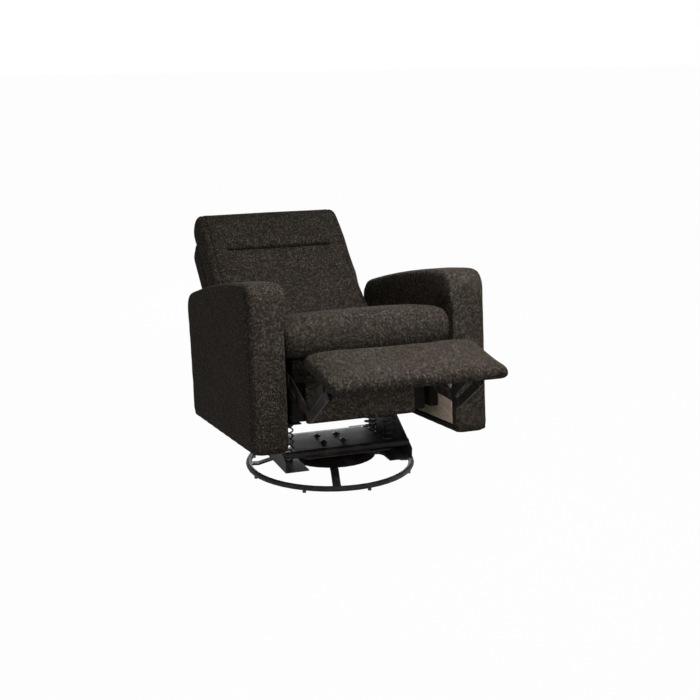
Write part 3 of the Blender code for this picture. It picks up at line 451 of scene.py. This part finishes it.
def only(piece):
    """Makes a piece the one selected and active object."""
    bpy.ops.object.select_all(action="DESELECT")
    piece.select_set(True)
    bpy.context.view_layer.objects.active = piece


def edit_all(piece):
    """Goes into edit mode with everything selected."""
    only(piece)
    bpy.ops.object.mode_set(mode="EDIT")
    bpy.ops.mesh.select_all(action="SELECT")


def pick_faces(piece, chosen):
    """Goes into edit mode with the chosen faces selected."""
    mesh = piece.data
    only(piece)
    bpy.context.tool_settings.mesh_select_mode = (False, False, True)
    mesh.vertices.foreach_set("select", np.zeros(len(mesh.vertices), dtype=bool))
    mesh.edges.foreach_set("select", np.zeros(len(mesh.edges), dtype=bool))
    mesh.polygons.foreach_set("select", chosen)
    bpy.ops.object.mode_set(mode="EDIT")


def leave_edit():
    bpy.ops.object.mode_set(mode="OBJECT")


def apply_modifier(piece, name, kind, **settings):
    """Adds a modifier, sets it and applies it."""
    only(piece)
    modifier = piece.modifiers.new(name, kind)
    for key, value in settings.items():
        setattr(modifier, key, value)
    bpy.ops.object.modifier_apply(modifier=name)


def own_copy(source, name):
    """A copy of an object, with its own mesh."""
    twin = bpy.data.objects.new(name, source.data.copy())
    bpy.context.scene.collection.objects.link(twin)
    return twin


def joined(name, pieces):
    """Makes several pieces into the first of them, under a new name."""
    only(pieces[0])
    for piece in pieces:
        piece.select_set(True)
    if len(pieces) > 1:
        bpy.ops.object.join()
    pieces[0].name = name
    return pieces[0]


def dress(piece, material, body):
    """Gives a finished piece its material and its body."""
    piece.data.materials.clear()
    piece.data.materials.append(material)
    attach(piece, body)


def coordinates(piece):
    places = np.empty(len(piece.data.vertices) * 3)
    piece.data.vertices.foreach_get("co", places)
    return places.reshape(-1, 3)


def outwards(piece):
    """The direction that each point of a piece faces."""
    normals = np.empty(len(piece.data.vertices) * 3)
    piece.data.vertices.foreach_get("normal", normals)
    return normals.reshape(-1, 3)


def set_coordinates(piece, places):
    piece.data.vertices.foreach_set("co", places.ravel())
    piece.data.update()


def face_corners(mesh):
    """How many corners each face has, and the point at each corner."""
    sizes = np.empty(len(mesh.polygons), dtype=np.int32)
    mesh.polygons.foreach_get("loop_total", sizes)
    points = np.empty(len(mesh.loops), dtype=np.int32)
    mesh.loops.foreach_get("vertex_index", points)
    return sizes, points


def levelled(vectors, tilt):
    """Vectors of the tilted chair, back or footrest turned level again."""
    turned = vectors.copy()
    turned[:, 1] = vectors[:, 1] * cos(tilt) + vectors[:, 2] * sin(tilt)
    turned[:, 2] = vectors[:, 2] * cos(tilt) - vectors[:, 1] * sin(tilt)
    return turned


def tilted(vectors, tilt):
    return levelled(vectors, -tilt)


def ease(values, start, end):
    """Goes smoothly from 0 at start to 1 at end."""
    share = np.clip((values - start) / (end - start), 0.0, 1.0)
    return share * share * (3 - 2 * share)


def towards(directions):
    """How far each direction points one way, from 0 to 1."""
    return np.clip(directions, 0.0, 1.0)


# Upholstery

def cut_cloth(name, nodes):
    """A merged copy of a cushion's solid, and of what it is sewn round, with even faces all over."""
    cover = joined(name, [own_copy(frame["nodes"][node], node) for node in nodes])
    edit_all(cover)
    bpy.ops.mesh.remove_doubles(threshold=MERGE_DISTANCE)
    leave_edit()
    apply_modifier(cover, "cloth grid", "REMESH", mode="VOXEL", voxel_size=VOXEL)
    return cover


def swell(piece, room):
    """Blows the cloth up from inside. No point moves out past its room, or more than a little in."""
    start = coordinates(piece)
    facing = outwards(piece)
    only(piece)
    modifier = piece.modifiers.new("filling", "CLOTH")
    cloth = modifier.settings
    cloth.quality = 3
    cloth.mass = 0.30
    cloth.tension_stiffness = 22.0
    cloth.compression_stiffness = 22.0
    cloth.shear_stiffness = 8.0
    cloth.bending_stiffness = 1.5
    cloth.use_pressure = True
    cloth.uniform_pressure_force = FILL_PRESSURE
    cloth.effector_weights.gravity = 0.0
    modifier.collision_settings.use_collision = False
    modifier.point_cache.frame_start = 1
    modifier.point_cache.frame_end = FILL_FRAMES
    for step in range(1, FILL_FRAMES + 1):
        bpy.context.scene.frame_set(step)
    bpy.ops.object.modifier_apply(modifier="filling")
    bpy.context.scene.frame_set(1)
    moved = coordinates(piece) - start
    sunk = np.minimum(np.sum(moved * facing, axis=1) + SINK, 0.0)
    moved -= facing * sunk[:, None]
    length = np.linalg.norm(moved, axis=1)
    share = np.minimum(1.0, room / np.maximum(length, 1e-9))
    set_coordinates(piece, start + moved * share[:, None])


def relax(piece, rounds):
    """Evens out facets without drawing the shape in: each round smooths, then fattens as much again."""
    ends = np.empty(len(piece.data.edges) * 2, dtype=np.int32)
    piece.data.edges.foreach_get("vertices", ends)
    first, second = ends.reshape(-1, 2).T
    place = coordinates(piece)
    count = np.bincount(ends, minlength=len(place))
    for factor in (0.60, -0.62) * rounds:
        middle = np.zeros_like(place)
        for axis in range(3):
            middle[:, axis] += np.bincount(first, place[second, axis], len(place))
            middle[:, axis] += np.bincount(second, place[first, axis], len(place))
        place += factor * (middle / count[:, None] - place)
    set_coordinates(piece, place)


def refine(piece):
    apply_modifier(piece, "finer", "SUBSURF", levels=1, render_levels=1)


def padded_piece(name, nodes, tilt, room, rounds):
    """A cushion: cut, evened, filled and refined. Room is worked out from level directions."""
    piece = cut_cloth(name, nodes)
    relax(piece, rounds)
    swell(piece, room(levelled(outwards(piece), tilt)))
    relax(piece, 3)
    refine(piece)
    return piece


def drawn_piece(name, nodes, rounds):
    """Cloth drawn tight over a board: cut, evened and refined."""
    piece = cut_cloth(name, nodes)
    relax(piece, rounds)
    refine(piece)
    return piece


def seam_store(piece):
    """The piece's record of how deep each point lies in a seam, from 0 to 1, kept for painted shade in the
    seam.
    """
    if "seam" not in piece.data.attributes:
        piece.data.attributes.new("seam", "FLOAT", "POINT")
    return piece.data.attributes["seam"]


def note_seam(piece, amount):
    """Records a new seam, and keeps the deeper of old and new at each point."""
    kept = np.empty(len(piece.data.vertices), dtype=np.float32)
    store = seam_store(piece)
    store.data.foreach_get("value", kept)
    store.data.foreach_set("value", np.maximum(kept, amount).astype(np.float32))


def press_seam(piece, distance, where, depth=SEAM_DEPTH):
    """Draws the cloth in along a sewn line, where distance is each point's distance from it."""
    groove = np.clip(1 - (distance / SEAM_REACH) ** 2, 0.0, 1.0) ** 2 * where
    set_coordinates(piece, coordinates(piece) - outwards(piece) * (groove * depth)[:, None])
    # The groove is also recorded as painted shade along the seam
    note_seam(piece, groove * depth / DARKEST_SEAM_SHADE_DEPTH)


def press_side_seams(piece, node, inset, where):
    """Sews one seam along each side of a piece that stands for a node."""
    low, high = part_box(node)
    across = coordinates(piece)[:, 0]
    for edge in (low.x + inset, high.x - inset):
        press_seam(piece, np.abs(across - edge), where)


def split_near(piece, wanted, cuts):
    """Divides the faces whose points are wanted more finely, for a sharp fold."""
    sizes, points = face_corners(piece.data)
    face = np.repeat(np.arange(len(sizes)), sizes)
    pick_faces(piece, np.bincount(face, wanted[points], len(sizes)) == sizes)
    bpy.ops.mesh.subdivide(number_cuts=cuts, smoothness=0.0)
    leave_edit()


def lay_weave(piece, tilt, shift):
    """Stores where each corner lies on the cloth: threads run across the chair and up it."""
    mesh = piece.data
    sizes, points = face_corners(mesh)
    facing = np.empty(len(mesh.polygons) * 3)
    mesh.polygons.foreach_get("normal", facing)
    facing = levelled(facing.reshape(-1, 3), tilt)
    side = np.repeat(np.argmax(np.abs(facing) * (1.0, 1.0, 0.98), axis=1), sizes)
    place = levelled(coordinates(piece), tilt)[points]
    weave = np.zeros((len(points), 3))
    weave[:, 0] = np.where(side == 0, place[:, 1], place[:, 0]) + shift
    weave[:, 1] = np.where(side == 2, place[:, 1], place[:, 2]) + shift * 0.7
    # Z carries each point's seam depth, which the cloth paints as shade
    depth = np.empty(len(mesh.vertices), dtype=np.float32)
    seam_store(piece).data.foreach_get("value", depth)
    weave[:, 2] = depth[points]
    store = mesh.attributes.new("weave", "FLOAT_VECTOR", "CORNER")
    store.data.foreach_set("vector", weave.ravel())


def finish_cloth(piece, nodes, body, tilt, shift):
    """Shades, dresses and lays the weave on a padded piece, and hides its nodes. Shift sets where on the
    cloth it is cut from.
    """
    only(piece)
    bpy.ops.object.shade_smooth()
    lay_weave(piece, tilt, shift)
    dress(piece, TWEED, body)
    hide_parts(*nodes)


# Seat

def make_seat():
    """The seat: a full bolster at the front that falls back to the hinge of the back."""
    def shown(facing):
        return towards(np.maximum(facing[:, 2], -facing[:, 1]))

    def room(facing):
        return SEAT_LEAST_ROOM + SEAT_CROWN_ROOM * shown(facing) ** 1.5

    nodes = ("seat_cushion",)
    piece = padded_piece("seat_bolster", nodes, CHAIR_TILT, room, rounds=20)
    facing = levelled(outwards(piece), CHAIR_TILT)
    press_side_seams(piece, "seat_cushion", SEAT_SEAM_INSET, shown(facing))
    finish_cloth(piece, nodes, "chair", CHAIR_TILT, shift=0.11)


def make_front_panel():
    """The front of the seat box: cloth drawn over a thin board."""
    nodes = ("front_panel",)
    piece = drawn_piece("front_apron", nodes, rounds=4)
    finish_cloth(piece, nodes, "chair", CHAIR_TILT, shift=0.71)


# Back

def back_hinge():
    """The hinge of the back, with the back turned level."""
    return levelled(np.array([AXIS["back_recline"]]), BACK_TILT)[0]


def make_back():
    """The back cushion, a little wider at the head, and drawn in along one tuck under it."""
    def room(facing):
        front = towards(-facing[:, 1])
        top = towards(facing[:, 2])
        side = np.abs(facing[:, 0])
        swollen = BACK_FRONT_ROOM * front ** 1.5 + BACK_TOP_ROOM * top ** 2
        return BACK_LEAST_ROOM + swollen + BACK_SIDE_ROOM * side

    nodes = ("back_cushion",)
    piece = padded_piece("back_pillow", nodes, BACK_TILT, room, rounds=20)
    spread_head(piece)
    press_tuck(piece)
    facing = levelled(outwards(piece), BACK_TILT)
    shown = towards(np.maximum(-facing[:, 1], facing[:, 2]))
    press_side_seams(piece, "back_cushion", BACK_SEAM_INSET, shown)
    finish_cloth(piece, nodes, "back", BACK_TILT, shift=0.23)


def spread_head(piece):
    """Widens the back cushion from its middle up."""
    hinge = back_hinge()
    place = levelled(coordinates(piece), BACK_TILT) - hinge
    widest = np.abs(place[:, 0]).max()
    share = ease(place[:, 2], SPREAD_START, SPREAD_END)
    place[:, 0] *= 1 + share * HEAD_SPREAD / widest
    set_coordinates(piece, tilted(place + hinge, BACK_TILT))


def press_tuck(piece):
    """Folds the back's cloth in along one line under the head, deepest near its two ends."""
    def hill(values, middle, width):
        return np.exp(-((values - middle) / width) ** 2)

    hinge = back_hinge()
    place = levelled(coordinates(piece), BACK_TILT) - hinge
    front = place[:, 1] < 0.0
    split_near(piece, front & (np.abs(place[:, 2] - TUCK_HEIGHT) < TUCK_BAND), TUCK_CUTS)
    place = levelled(coordinates(piece), BACK_TILT) - hinge
    facing = levelled(outwards(piece), BACK_TILT)
    height = place[:, 2] - TUCK_HEIGHT
    across = np.abs(place[:, 0])
    sewn = (1 - ease(across, TUCK_FADE_START, TUCK_FADE_END)) * ease(-facing[:, 1], 0.2, 0.7)
    deeper = 1 + PINCH_SHARE * hill(across, PINCH_PLACE, PINCH_WIDTH)
    crease = hill(height, 0.0, TUCK_WIDTH) * deeper * sewn
    place[:, 1] += TUCK_PULL * crease - PILLOW_SWELL * hill(height, PILLOW_RISE, PILLOW_WIDTH) * sewn
    place[:, 2] -= LIP_DROP * hill(height, LIP_RISE, LIP_WIDTH) * sewn
    set_coordinates(piece, tilted(place + hinge, BACK_TILT))
    # The crease is recorded as painted shade along the tuck
    note_seam(piece, np.clip(crease, 0.0, 1.0))


def make_back_shell():
    """The outside of the back: cloth drawn over its frame, with a seam along each side."""
    nodes = ("back_shell",)
    piece = drawn_piece("back_cover", nodes, rounds=12)
    facing = levelled(outwards(piece), BACK_TILT)
    press_side_seams(piece, "back_shell", SHELL_SEAM_INSET, towards(facing[:, 1]))
    finish_cloth(piece, nodes, "back", BACK_TILT, shift=0.31)


# Arms

def make_arms():
    """Both arms: boxed front, arched top, and cloth that wraps round to the bare board."""
    def room(facing):
        outer = towards(facing[:, 0])
        front = towards(-facing[:, 1])
        top = towards(facing[:, 2])
        swollen = ARM_OUTER_ROOM * outer + ARM_FRONT_ROOM * front ** 2
        return ARM_LEAST_ROOM + swollen + ARM_TOP_ROOM * top ** 2

    left = padded_piece("arm_cover_left", ("arm_left",), CHAIR_TILT, room, rounds=10)
    square_edges(left)
    bulge_front(left)
    press_boxing(left)
    clear_board(left)
    right = mirrored(left, "arm_cover_right")
    finish_cloth(left, ("arm_left",), "chair", CHAIR_TILT, shift=0.43)
    finish_cloth(right, ("arm_right",), "chair", CHAIR_TILT, shift=0.59)


def square_edges(piece):
    """Makes some of the left arm's round edges nearly square: its inner uprights and its outer foot."""
    place = levelled(coordinates(piece), CHAIR_TILT)
    low = place.min(axis=0)
    high = place.max(axis=0)
    inner = (0, low, -1)
    outer = (0, high, 1)
    front = (1, low, -1)
    rear = (1, high, 1)
    foot = (2, low, -1)
    for first, second in ((inner, front), (inner, rear), (outer, foot)):
        square_edge(place, first, second)
    set_coordinates(piece, tilted(place, CHAIR_TILT))


def square_edge(place, first, second):
    """Fills out the round edge between two faces, each given by its axis, its corner and its way."""
    inside = []
    for axis, corner, way in (first, second):
        depth = (corner[axis] - place[:, axis]) * way
        inside.append(np.clip(1 - depth / ARM_EDGE, 0.0, 1.0))
    reach = np.maximum((inside[0] ** EDGE_POWER + inside[1] ** EDGE_POWER) ** (1 / EDGE_POWER), 1e-6)
    grow = np.hypot(*inside) / reach - 1
    grow[(inside[0] == 0) | (inside[1] == 0)] = 0.0
    for (axis, _, way), share in zip((first, second), inside):
        place[:, axis] += ARM_EDGE * share * grow * way


def bulge_front(piece):
    """Lets the left arm's inner face swell near its front and top."""
    place = levelled(coordinates(piece), CHAIR_TILT)
    facing = levelled(outwards(piece), CHAIR_TILT)
    behind = place[:, 1] - place[:, 1].min()
    below = place[:, 2].max() - place[:, 2]
    share = ease(behind, BULGE_LENGTH, BULGE_FULL_LENGTH) * ease(below, BULGE_DEPTH, BULGE_FULL_DEPTH)
    place[:, 0] -= BULGE * share * towards(-facing[:, 0])
    set_coordinates(piece, tilted(place, CHAIR_TILT))


def press_boxing(piece):
    """Sews the seam that runs round the arm just behind its front."""
    place = levelled(coordinates(piece), CHAIR_TILT)
    facing = levelled(outwards(piece), CHAIR_TILT)
    behind = place[:, 1] - place[:, 1].min()
    press_seam(piece, np.abs(behind - ARM_SEAM_INSET), 1 - towards(-facing[:, 1]), ARM_SEAM_DEPTH)


def board_box():
    """The left arm board's lowest and highest corner, with the chair turned level."""
    board = levelled(coordinates(frame["nodes"]["arm_board_left"]), CHAIR_TILT)
    return board.min(axis=0), board.max(axis=0)


def clear_board(piece):
    """Keeps the cloth behind the bare board that is let into the left arm's inner face."""
    low, high = board_box()
    place = levelled(coordinates(piece), CHAIR_TILT)
    upright = place[:, 1:]
    over = np.all((upright > low[1:] - BOARD_MARGIN) & (upright < high[1:] + BOARD_MARGIN), axis=1)
    over &= place[:, 0] < high[0] + BOARD_REACH
    place[over, 0] = np.maximum(place[over, 0], high[0] + BOARD_CLEARANCE)
    set_coordinates(piece, tilted(place, CHAIR_TILT))


def mirrored(piece, name):
    """A copy for the other side of the chair."""
    twin = own_copy(piece, name)
    set_coordinates(twin, coordinates(twin) * (-1.0, 1.0, 1.0))
    edit_all(twin)
    bpy.ops.mesh.flip_normals()
    leave_edit()
    return twin


# Footrest

def make_footrest():
    """The footrest: one crowned pad, full at its rear, its cloth taken round the board and under it."""
    def room(facing):
        top = towards(facing[:, 2])
        edge = towards(np.abs(facing[:, 1]))
        return PAD_LEAST_ROOM + PAD_TOP_ROOM * top ** 1.5 + PAD_EDGE_ROOM * edge

    nodes = ("footrest_pad", "footrest_board")
    piece = padded_piece("footrest_cover", nodes, FOOTREST_TILT, room, rounds=12)
    fill_out(piece)
    finish_cloth(piece, nodes, "footrest", FOOTREST_TILT, shift=0.57)


def fill_out(piece):
    """Lifts the pad's top towards its rear, where its filling is packed tight, and spreads its ends."""
    place = levelled(coordinates(piece), FOOTREST_TILT)
    low = place.min(axis=0)
    high = place.max(axis=0)
    span = high - low
    upper = ease(place[:, 2], low[2] + PAD_LIFT_HEIGHT * span[2], high[2])
    rearward = ease(place[:, 1], low[1] + PAD_LIFT_LENGTH * span[1], high[1] - PAD_LIFT_MARGIN)
    place[:, 2] += upper * PAD_REAR_LIFT * rearward
    place[:, 0] *= 1 + PAD_SPREAD / high[0]
    set_coordinates(piece, tilted(place, FOOTREST_TILT))


# Steel, boards and glides of the frame

def dress_frame():
    """Gives every CAD node its material."""
    finishes = {
        "black_steel": PAINT,
        "zinc_steel": ZINC,
        "bare_wood": BOARD_WIDE,
        # The lining on the rails and deck is partly a real dust cloth and partly painted shade under the
        # seat
        "black_lining": LINING_AND_SHADE,
        "black_plastic": PLASTIC,
    }
    for name, node in frame["nodes"].items():
        material = finishes.get(node.data.materials[0].name, TWEED)
        if name.startswith("arm_board"):
            material = BOARD_LONG
        if "spring" in name:
            material = OILED
        node.data.materials.clear()
        node.data.materials.append(material)


# Coil springs

def make_coil(name, low, high):
    """A coil that fills a box: a round wire spun up its axis, with one closed turn at each end."""
    turns = ACTIVE_TURNS + 2
    height = high.z - low.z - 2 * WIRE_RADIUS
    radius = (high.x - low.x) / 2 - WIRE_RADIUS
    bpy.ops.object.select_all(action="DESELECT")
    bpy.ops.mesh.primitive_circle_add(vertices=WIRE_SIDES, radius=WIRE_RADIUS, rotation=(pi / 2, 0.0, 0.0),
                                      location=(radius, 0.0, WIRE_RADIUS))
    coil = bpy.context.object
    coil.name = name
    bpy.ops.object.transform_apply(location=True, rotation=True, scale=True)
    apply_modifier(coil, "wind", "SCREW", iterations=turns, steps=TURN_STEPS, render_steps=TURN_STEPS,
                   screw_offset=height / turns, use_merge_vertices=False)
    place = coordinates(coil)
    turn = np.arange(len(place)) // WIRE_SIDES / TURN_STEPS
    risen = np.interp(turn, (0, 1, turns - 1, turns), (0.0, CLOSED_RISE, height - CLOSED_RISE, height))
    place[:, 2] += risen - turn * height / turns
    set_coordinates(coil, place + ((low.x + high.x) / 2, (low.y + high.y) / 2, low.z))
    edit_all(coil)
    bpy.ops.mesh.fill_holes(sides=0)
    bpy.ops.mesh.normals_make_consistent(inside=False)
    leave_edit()
    bpy.ops.object.shade_smooth_by_angle(angle=COIL_SMOOTHING)
    return coil


def make_springs():
    """Four coils on the bracket feet. Each front coil gets a mesh of its own."""
    for hand, _ in SIDES:
        for end in ("front", "rear"):
            node = f"{end}_spring_{hand}"
            low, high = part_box(node)
            if end == "rear":
                high.z -= REAR_PLAY
            coil = make_coil(f"{end}_coil_{hand}", low, high)
            dress(coil, OILED, "turntable")
            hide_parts(node)
            if end == "front":
                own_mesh(coil)


# Fasteners

def make_head(sides, radius, height, rim, steps):
    """A head that stands on the floor of its own space, with its upper rim rounded or cut off."""
    bpy.ops.object.select_all(action="DESELECT")
    bpy.ops.mesh.primitive_cylinder_add(vertices=sides, radius=radius, depth=height)
    head = bpy.context.object
    set_coordinates(head, coordinates(head) + (0.0, 0.0, height / 2))
    pick_faces(head, np.array([face.normal.z > 0.9 for face in head.data.polygons]))
    bpy.ops.mesh.bevel(offset=rim, segments=steps, affect="EDGES")
    leave_edit()
    return head


def make_bolt(radius, height):
    """A hexagon head on a thin washer."""
    washer = make_head(ROUND_SIDES, radius * 1.75, height * 0.25, height * 0.08, 2)
    head = make_head(6, radius, height, height * 0.15, 1)
    return joined("bolt", [washer, head])


def make_staple(length, wire):
    """The crown of a driven staple: a flat bar with its edges rounded."""
    bpy.ops.object.select_all(action="DESELECT")
    bpy.ops.mesh.primitive_cube_add(size=1.0)
    staple = bpy.context.object
    edit_all(staple)
    bpy.ops.transform.resize(value=(length, wire, wire))
    bpy.ops.mesh.bevel(offset=wire * 0.3, segments=2, affect="EDGES")
    leave_edit()
    return staple


def copied(master, place, turn):
    """A copy of a fastener, turned and set down at its place."""
    twin = own_copy(master, master.name)
    twin.data.transform(Matrix.Translation(place) @ turn)
    return twin


def fix(name, master, places, material, body):
    """Sets copies of one fastener at (place, turn) pairs, as one piece that rides a body."""
    group = joined(name, [copied(master, place, turn) for place, turn in places])
    bpy.data.objects.remove(master)
    only(group)
    bpy.ops.object.shade_smooth_by_angle(angle=FASTENER_SMOOTHING)
    dress(group, material, body)


def inward(side):
    """Turns a head's axis towards the middle of the chair."""
    return Matrix.Rotation(-side * pi / 2, 4, "Y")


def make_rivets(name, body, node, eyes):
    """Rivet heads at the eyes of a pair of links, on the inner faces. The node is the left link."""
    rivet = make_head(ROUND_SIDES, RIVET_RADIUS, RIVET_HEIGHT, RIVET_RIM, 3)
    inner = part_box(node)[0].x
    places = [(Vector((side * inner, eye.y, eye.z)), inward(side)) for _, side in SIDES for eye in eyes]
    fix(name, rivet, places, OILED, body)


def make_linkage_rivets():
    """Rivets of the carrier links and the footrest brackets."""
    rear_eye = AXIS["rear_swing"] + AXIS["carrier"] - AXIS["front_swing"]
    ahead = tilted(np.array([[0.0, -EYE_SPACING, 0.0]]), FOOTREST_TILT)[0]
    front_eye = AXIS["footrest"] + Vector(ahead)
    make_rivets("carrier_rivets", "carrier", "carrier_link_left", (AXIS["carrier"], rear_eye))
    make_rivets("footrest_rivets", "footrest", "footrest_bracket_left", (AXIS["footrest"], front_eye))


def make_bolts():
    """Bolts through the swivel plate into the bearing, and through the rear bar into the brackets."""
    bolt = make_bolt(BOLT_RADIUS, BOLT_HEIGHT)
    plate_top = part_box("swivel_plate")[1].z
    middle = AXIS["swivel"].y
    bar_low, bar_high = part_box("rear_cross_bar")
    bar_middle = (bar_low.y + bar_high.y) / 2
    spread = (-PLATE_BOLT_SPREAD, PLATE_BOLT_SPREAD)
    corners = [(x, middle + y, plate_top) for x in spread for y in spread]
    corners += [(side * (bar_high.x - BAR_BOLT_INSET), bar_middle, bar_high.z) for _, side in SIDES]
    places = [(Vector(corner), Matrix.Identity(4)) for corner in corners]
    fix("turntable_bolts", bolt, places, OILED, "turntable")


def make_staples():
    """Staples that hold the arms' cloth, in rows near the lower and front edges of the bare boards."""
    staple = make_staple(STAPLE_LENGTH, STAPLE_WIRE)
    low, high = board_box()
    along = np.linspace(low[1] + STAPLE_ROW_MARGIN, high[1] - STAPLE_ROW_MARGIN, STAPLES_ALONG)
    up = np.linspace(low[2] + STAPLE_RISE_START, high[2] - STAPLE_RISE_END, STAPLES_UP)
    spots = [(y, low[2] + STAPLE_INSET, pi / 2) for y in along]
    spots += [(low[1] + STAPLE_INSET, z, 0.0) for z in up]
    lean = Matrix.Rotation(CHAIR_TILT, 4, "X")
    upright = Matrix.Rotation(pi / 2, 4, "Y")
    places = []
    for _, side in SIDES:
        for y, z, turn in spots:
            place = tilted(np.array([[side * low[0], y, z]]), CHAIR_TILT)[0]
            places.append((Vector(place), lean @ Matrix.Rotation(turn, 4, "X") @ upright))
    fix("board_staples", staple, places, ZINC, "chair")


# Stage

def make_camera():
    """A camera that looks at its target from the front, a little from the sitter's right and above."""
    level = cos(CAMERA_LIFT)
    back = Vector((-sin(CAMERA_TURN) * level, -cos(CAMERA_TURN) * level, sin(CAMERA_LIFT)))
    right = Vector((cos(CAMERA_TURN), -sin(CAMERA_TURN), 0.0))
    up = back.cross(right)
    camera = bpy.data.cameras.new("camera")
    camera.lens = CAMERA_LENS
    camera.sensor_width = CAMERA_SENSOR
    holder = bpy.data.objects.new("camera", camera)
    bpy.context.scene.collection.objects.link(holder)
    turn = Matrix((right, up, back)).transposed().to_4x4()
    holder.matrix_world = Matrix.Translation(CAMERA_TARGET + back * CAMERA_DISTANCE) @ turn
    bpy.context.scene.camera = holder


def make_lamp(name, place, aim, size, power):
    """A round soft lamp that the camera does not see."""
    lamp = bpy.data.lights.new(name, "AREA")
    lamp.shape = "DISK"
    lamp.size = size
    lamp.energy = power
    holder = bpy.data.objects.new(name, lamp)
    bpy.context.scene.collection.objects.link(holder)
    holder.visible_camera = False
    holder.location = place
    holder.rotation_euler = (Vector(aim) - Vector(place)).to_track_quat("-Z", "Y").to_euler()


def make_floor():
    """A pale floor that shows white to the camera, with the chair's soft shadow on it."""
    bpy.ops.object.select_all(action="DESELECT")
    bpy.ops.mesh.primitive_plane_add(size=FLOOR_SIZE)
    floor = bpy.context.object
    floor.name = "floor"
    pale = Finish("pale_floor")
    pale.surface(Base_Color=opaque(FLOOR_GREY), Roughness=0.9)
    white = pale.node("ShaderNodeEmission", None, {"Color": opaque(1.0), "Strength": 1.0})
    plain = Value(pale, pale.shader.outputs[0])
    shown = pale.node("ShaderNodeMixShader", None, {0: seen_rays(pale) * FLOOR_WHITE, 1: plain, 2: white})
    pale.feed(pale.tree.nodes["Material Output"].inputs["Surface"], shown)
    floor.data.materials.append(pale.material)


def seen_rays(finish):
    """1 for rays that show the backdrop: straight from the camera, mirrored or let through."""
    seen = finish.node("ShaderNodeLightPath", None, None, "Is Camera Ray")
    glossy = finish.node("ShaderNodeLightPath", None, None, "Is Glossy Ray")
    through = finish.node("ShaderNodeLightPath", None, None, "Is Transmission Ray")
    return seen.worked("MAXIMUM", seen.worked("MAXIMUM", seen, glossy), through)


class Sky(Finish):
    """The world's nodes, built as a material's are."""

    def __init__(self):
        world = bpy.data.worlds.new("studio")
        bpy.context.scene.world = world
        world.use_nodes = True
        self.tree = world.node_tree
        self.shader = self.tree.nodes["Background"]


def make_sky():
    """A white backdrop that gives the chair only a little light."""
    sky = Sky()
    sky.surface(Color=opaque(1.0))
    sky.surface(Strength=SKY_LIGHT + seen_rays(sky) * (1.0 - SKY_LIGHT))


def make_stage():
    make_camera()
    make_sky()
    make_lamp("key", place=(0.22, -0.86, 1.52), aim=(0.0, -0.60, 0.45), size=0.8, power=16.5)
    make_lamp("top", place=(0.24, -0.60, 2.40), aim=(0.0, -0.30, 0.40), size=1.2, power=8.0)
    make_lamp("front", place=(0.15, -3.00, 1.50), aim=(0.0, 0.0, 0.45), size=1.0, power=22.0)
    make_lamp("fill", place=(-2.7, -0.80, 0.38), aim=(-0.3, 0.0, 0.38), size=1.0, power=12.5)
    make_lamp("rear", place=(0.9, 3.00, 0.80), aim=(0.0, 0.3, 0.40), size=1.4, power=42.0)
    make_lamp("side", place=(2.8, 0.10, 0.80), aim=(0.3, 0.0, 0.40), size=1.2, power=18.0)
    make_floor()
    bpy.context.scene.view_settings.view_transform = "Standard"


dress_frame()
make_seat()
make_back()
make_back_shell()
make_arms()
make_footrest()
make_front_panel()
make_springs()
make_linkage_rivets()
make_bolts()
make_staples()
make_stage()
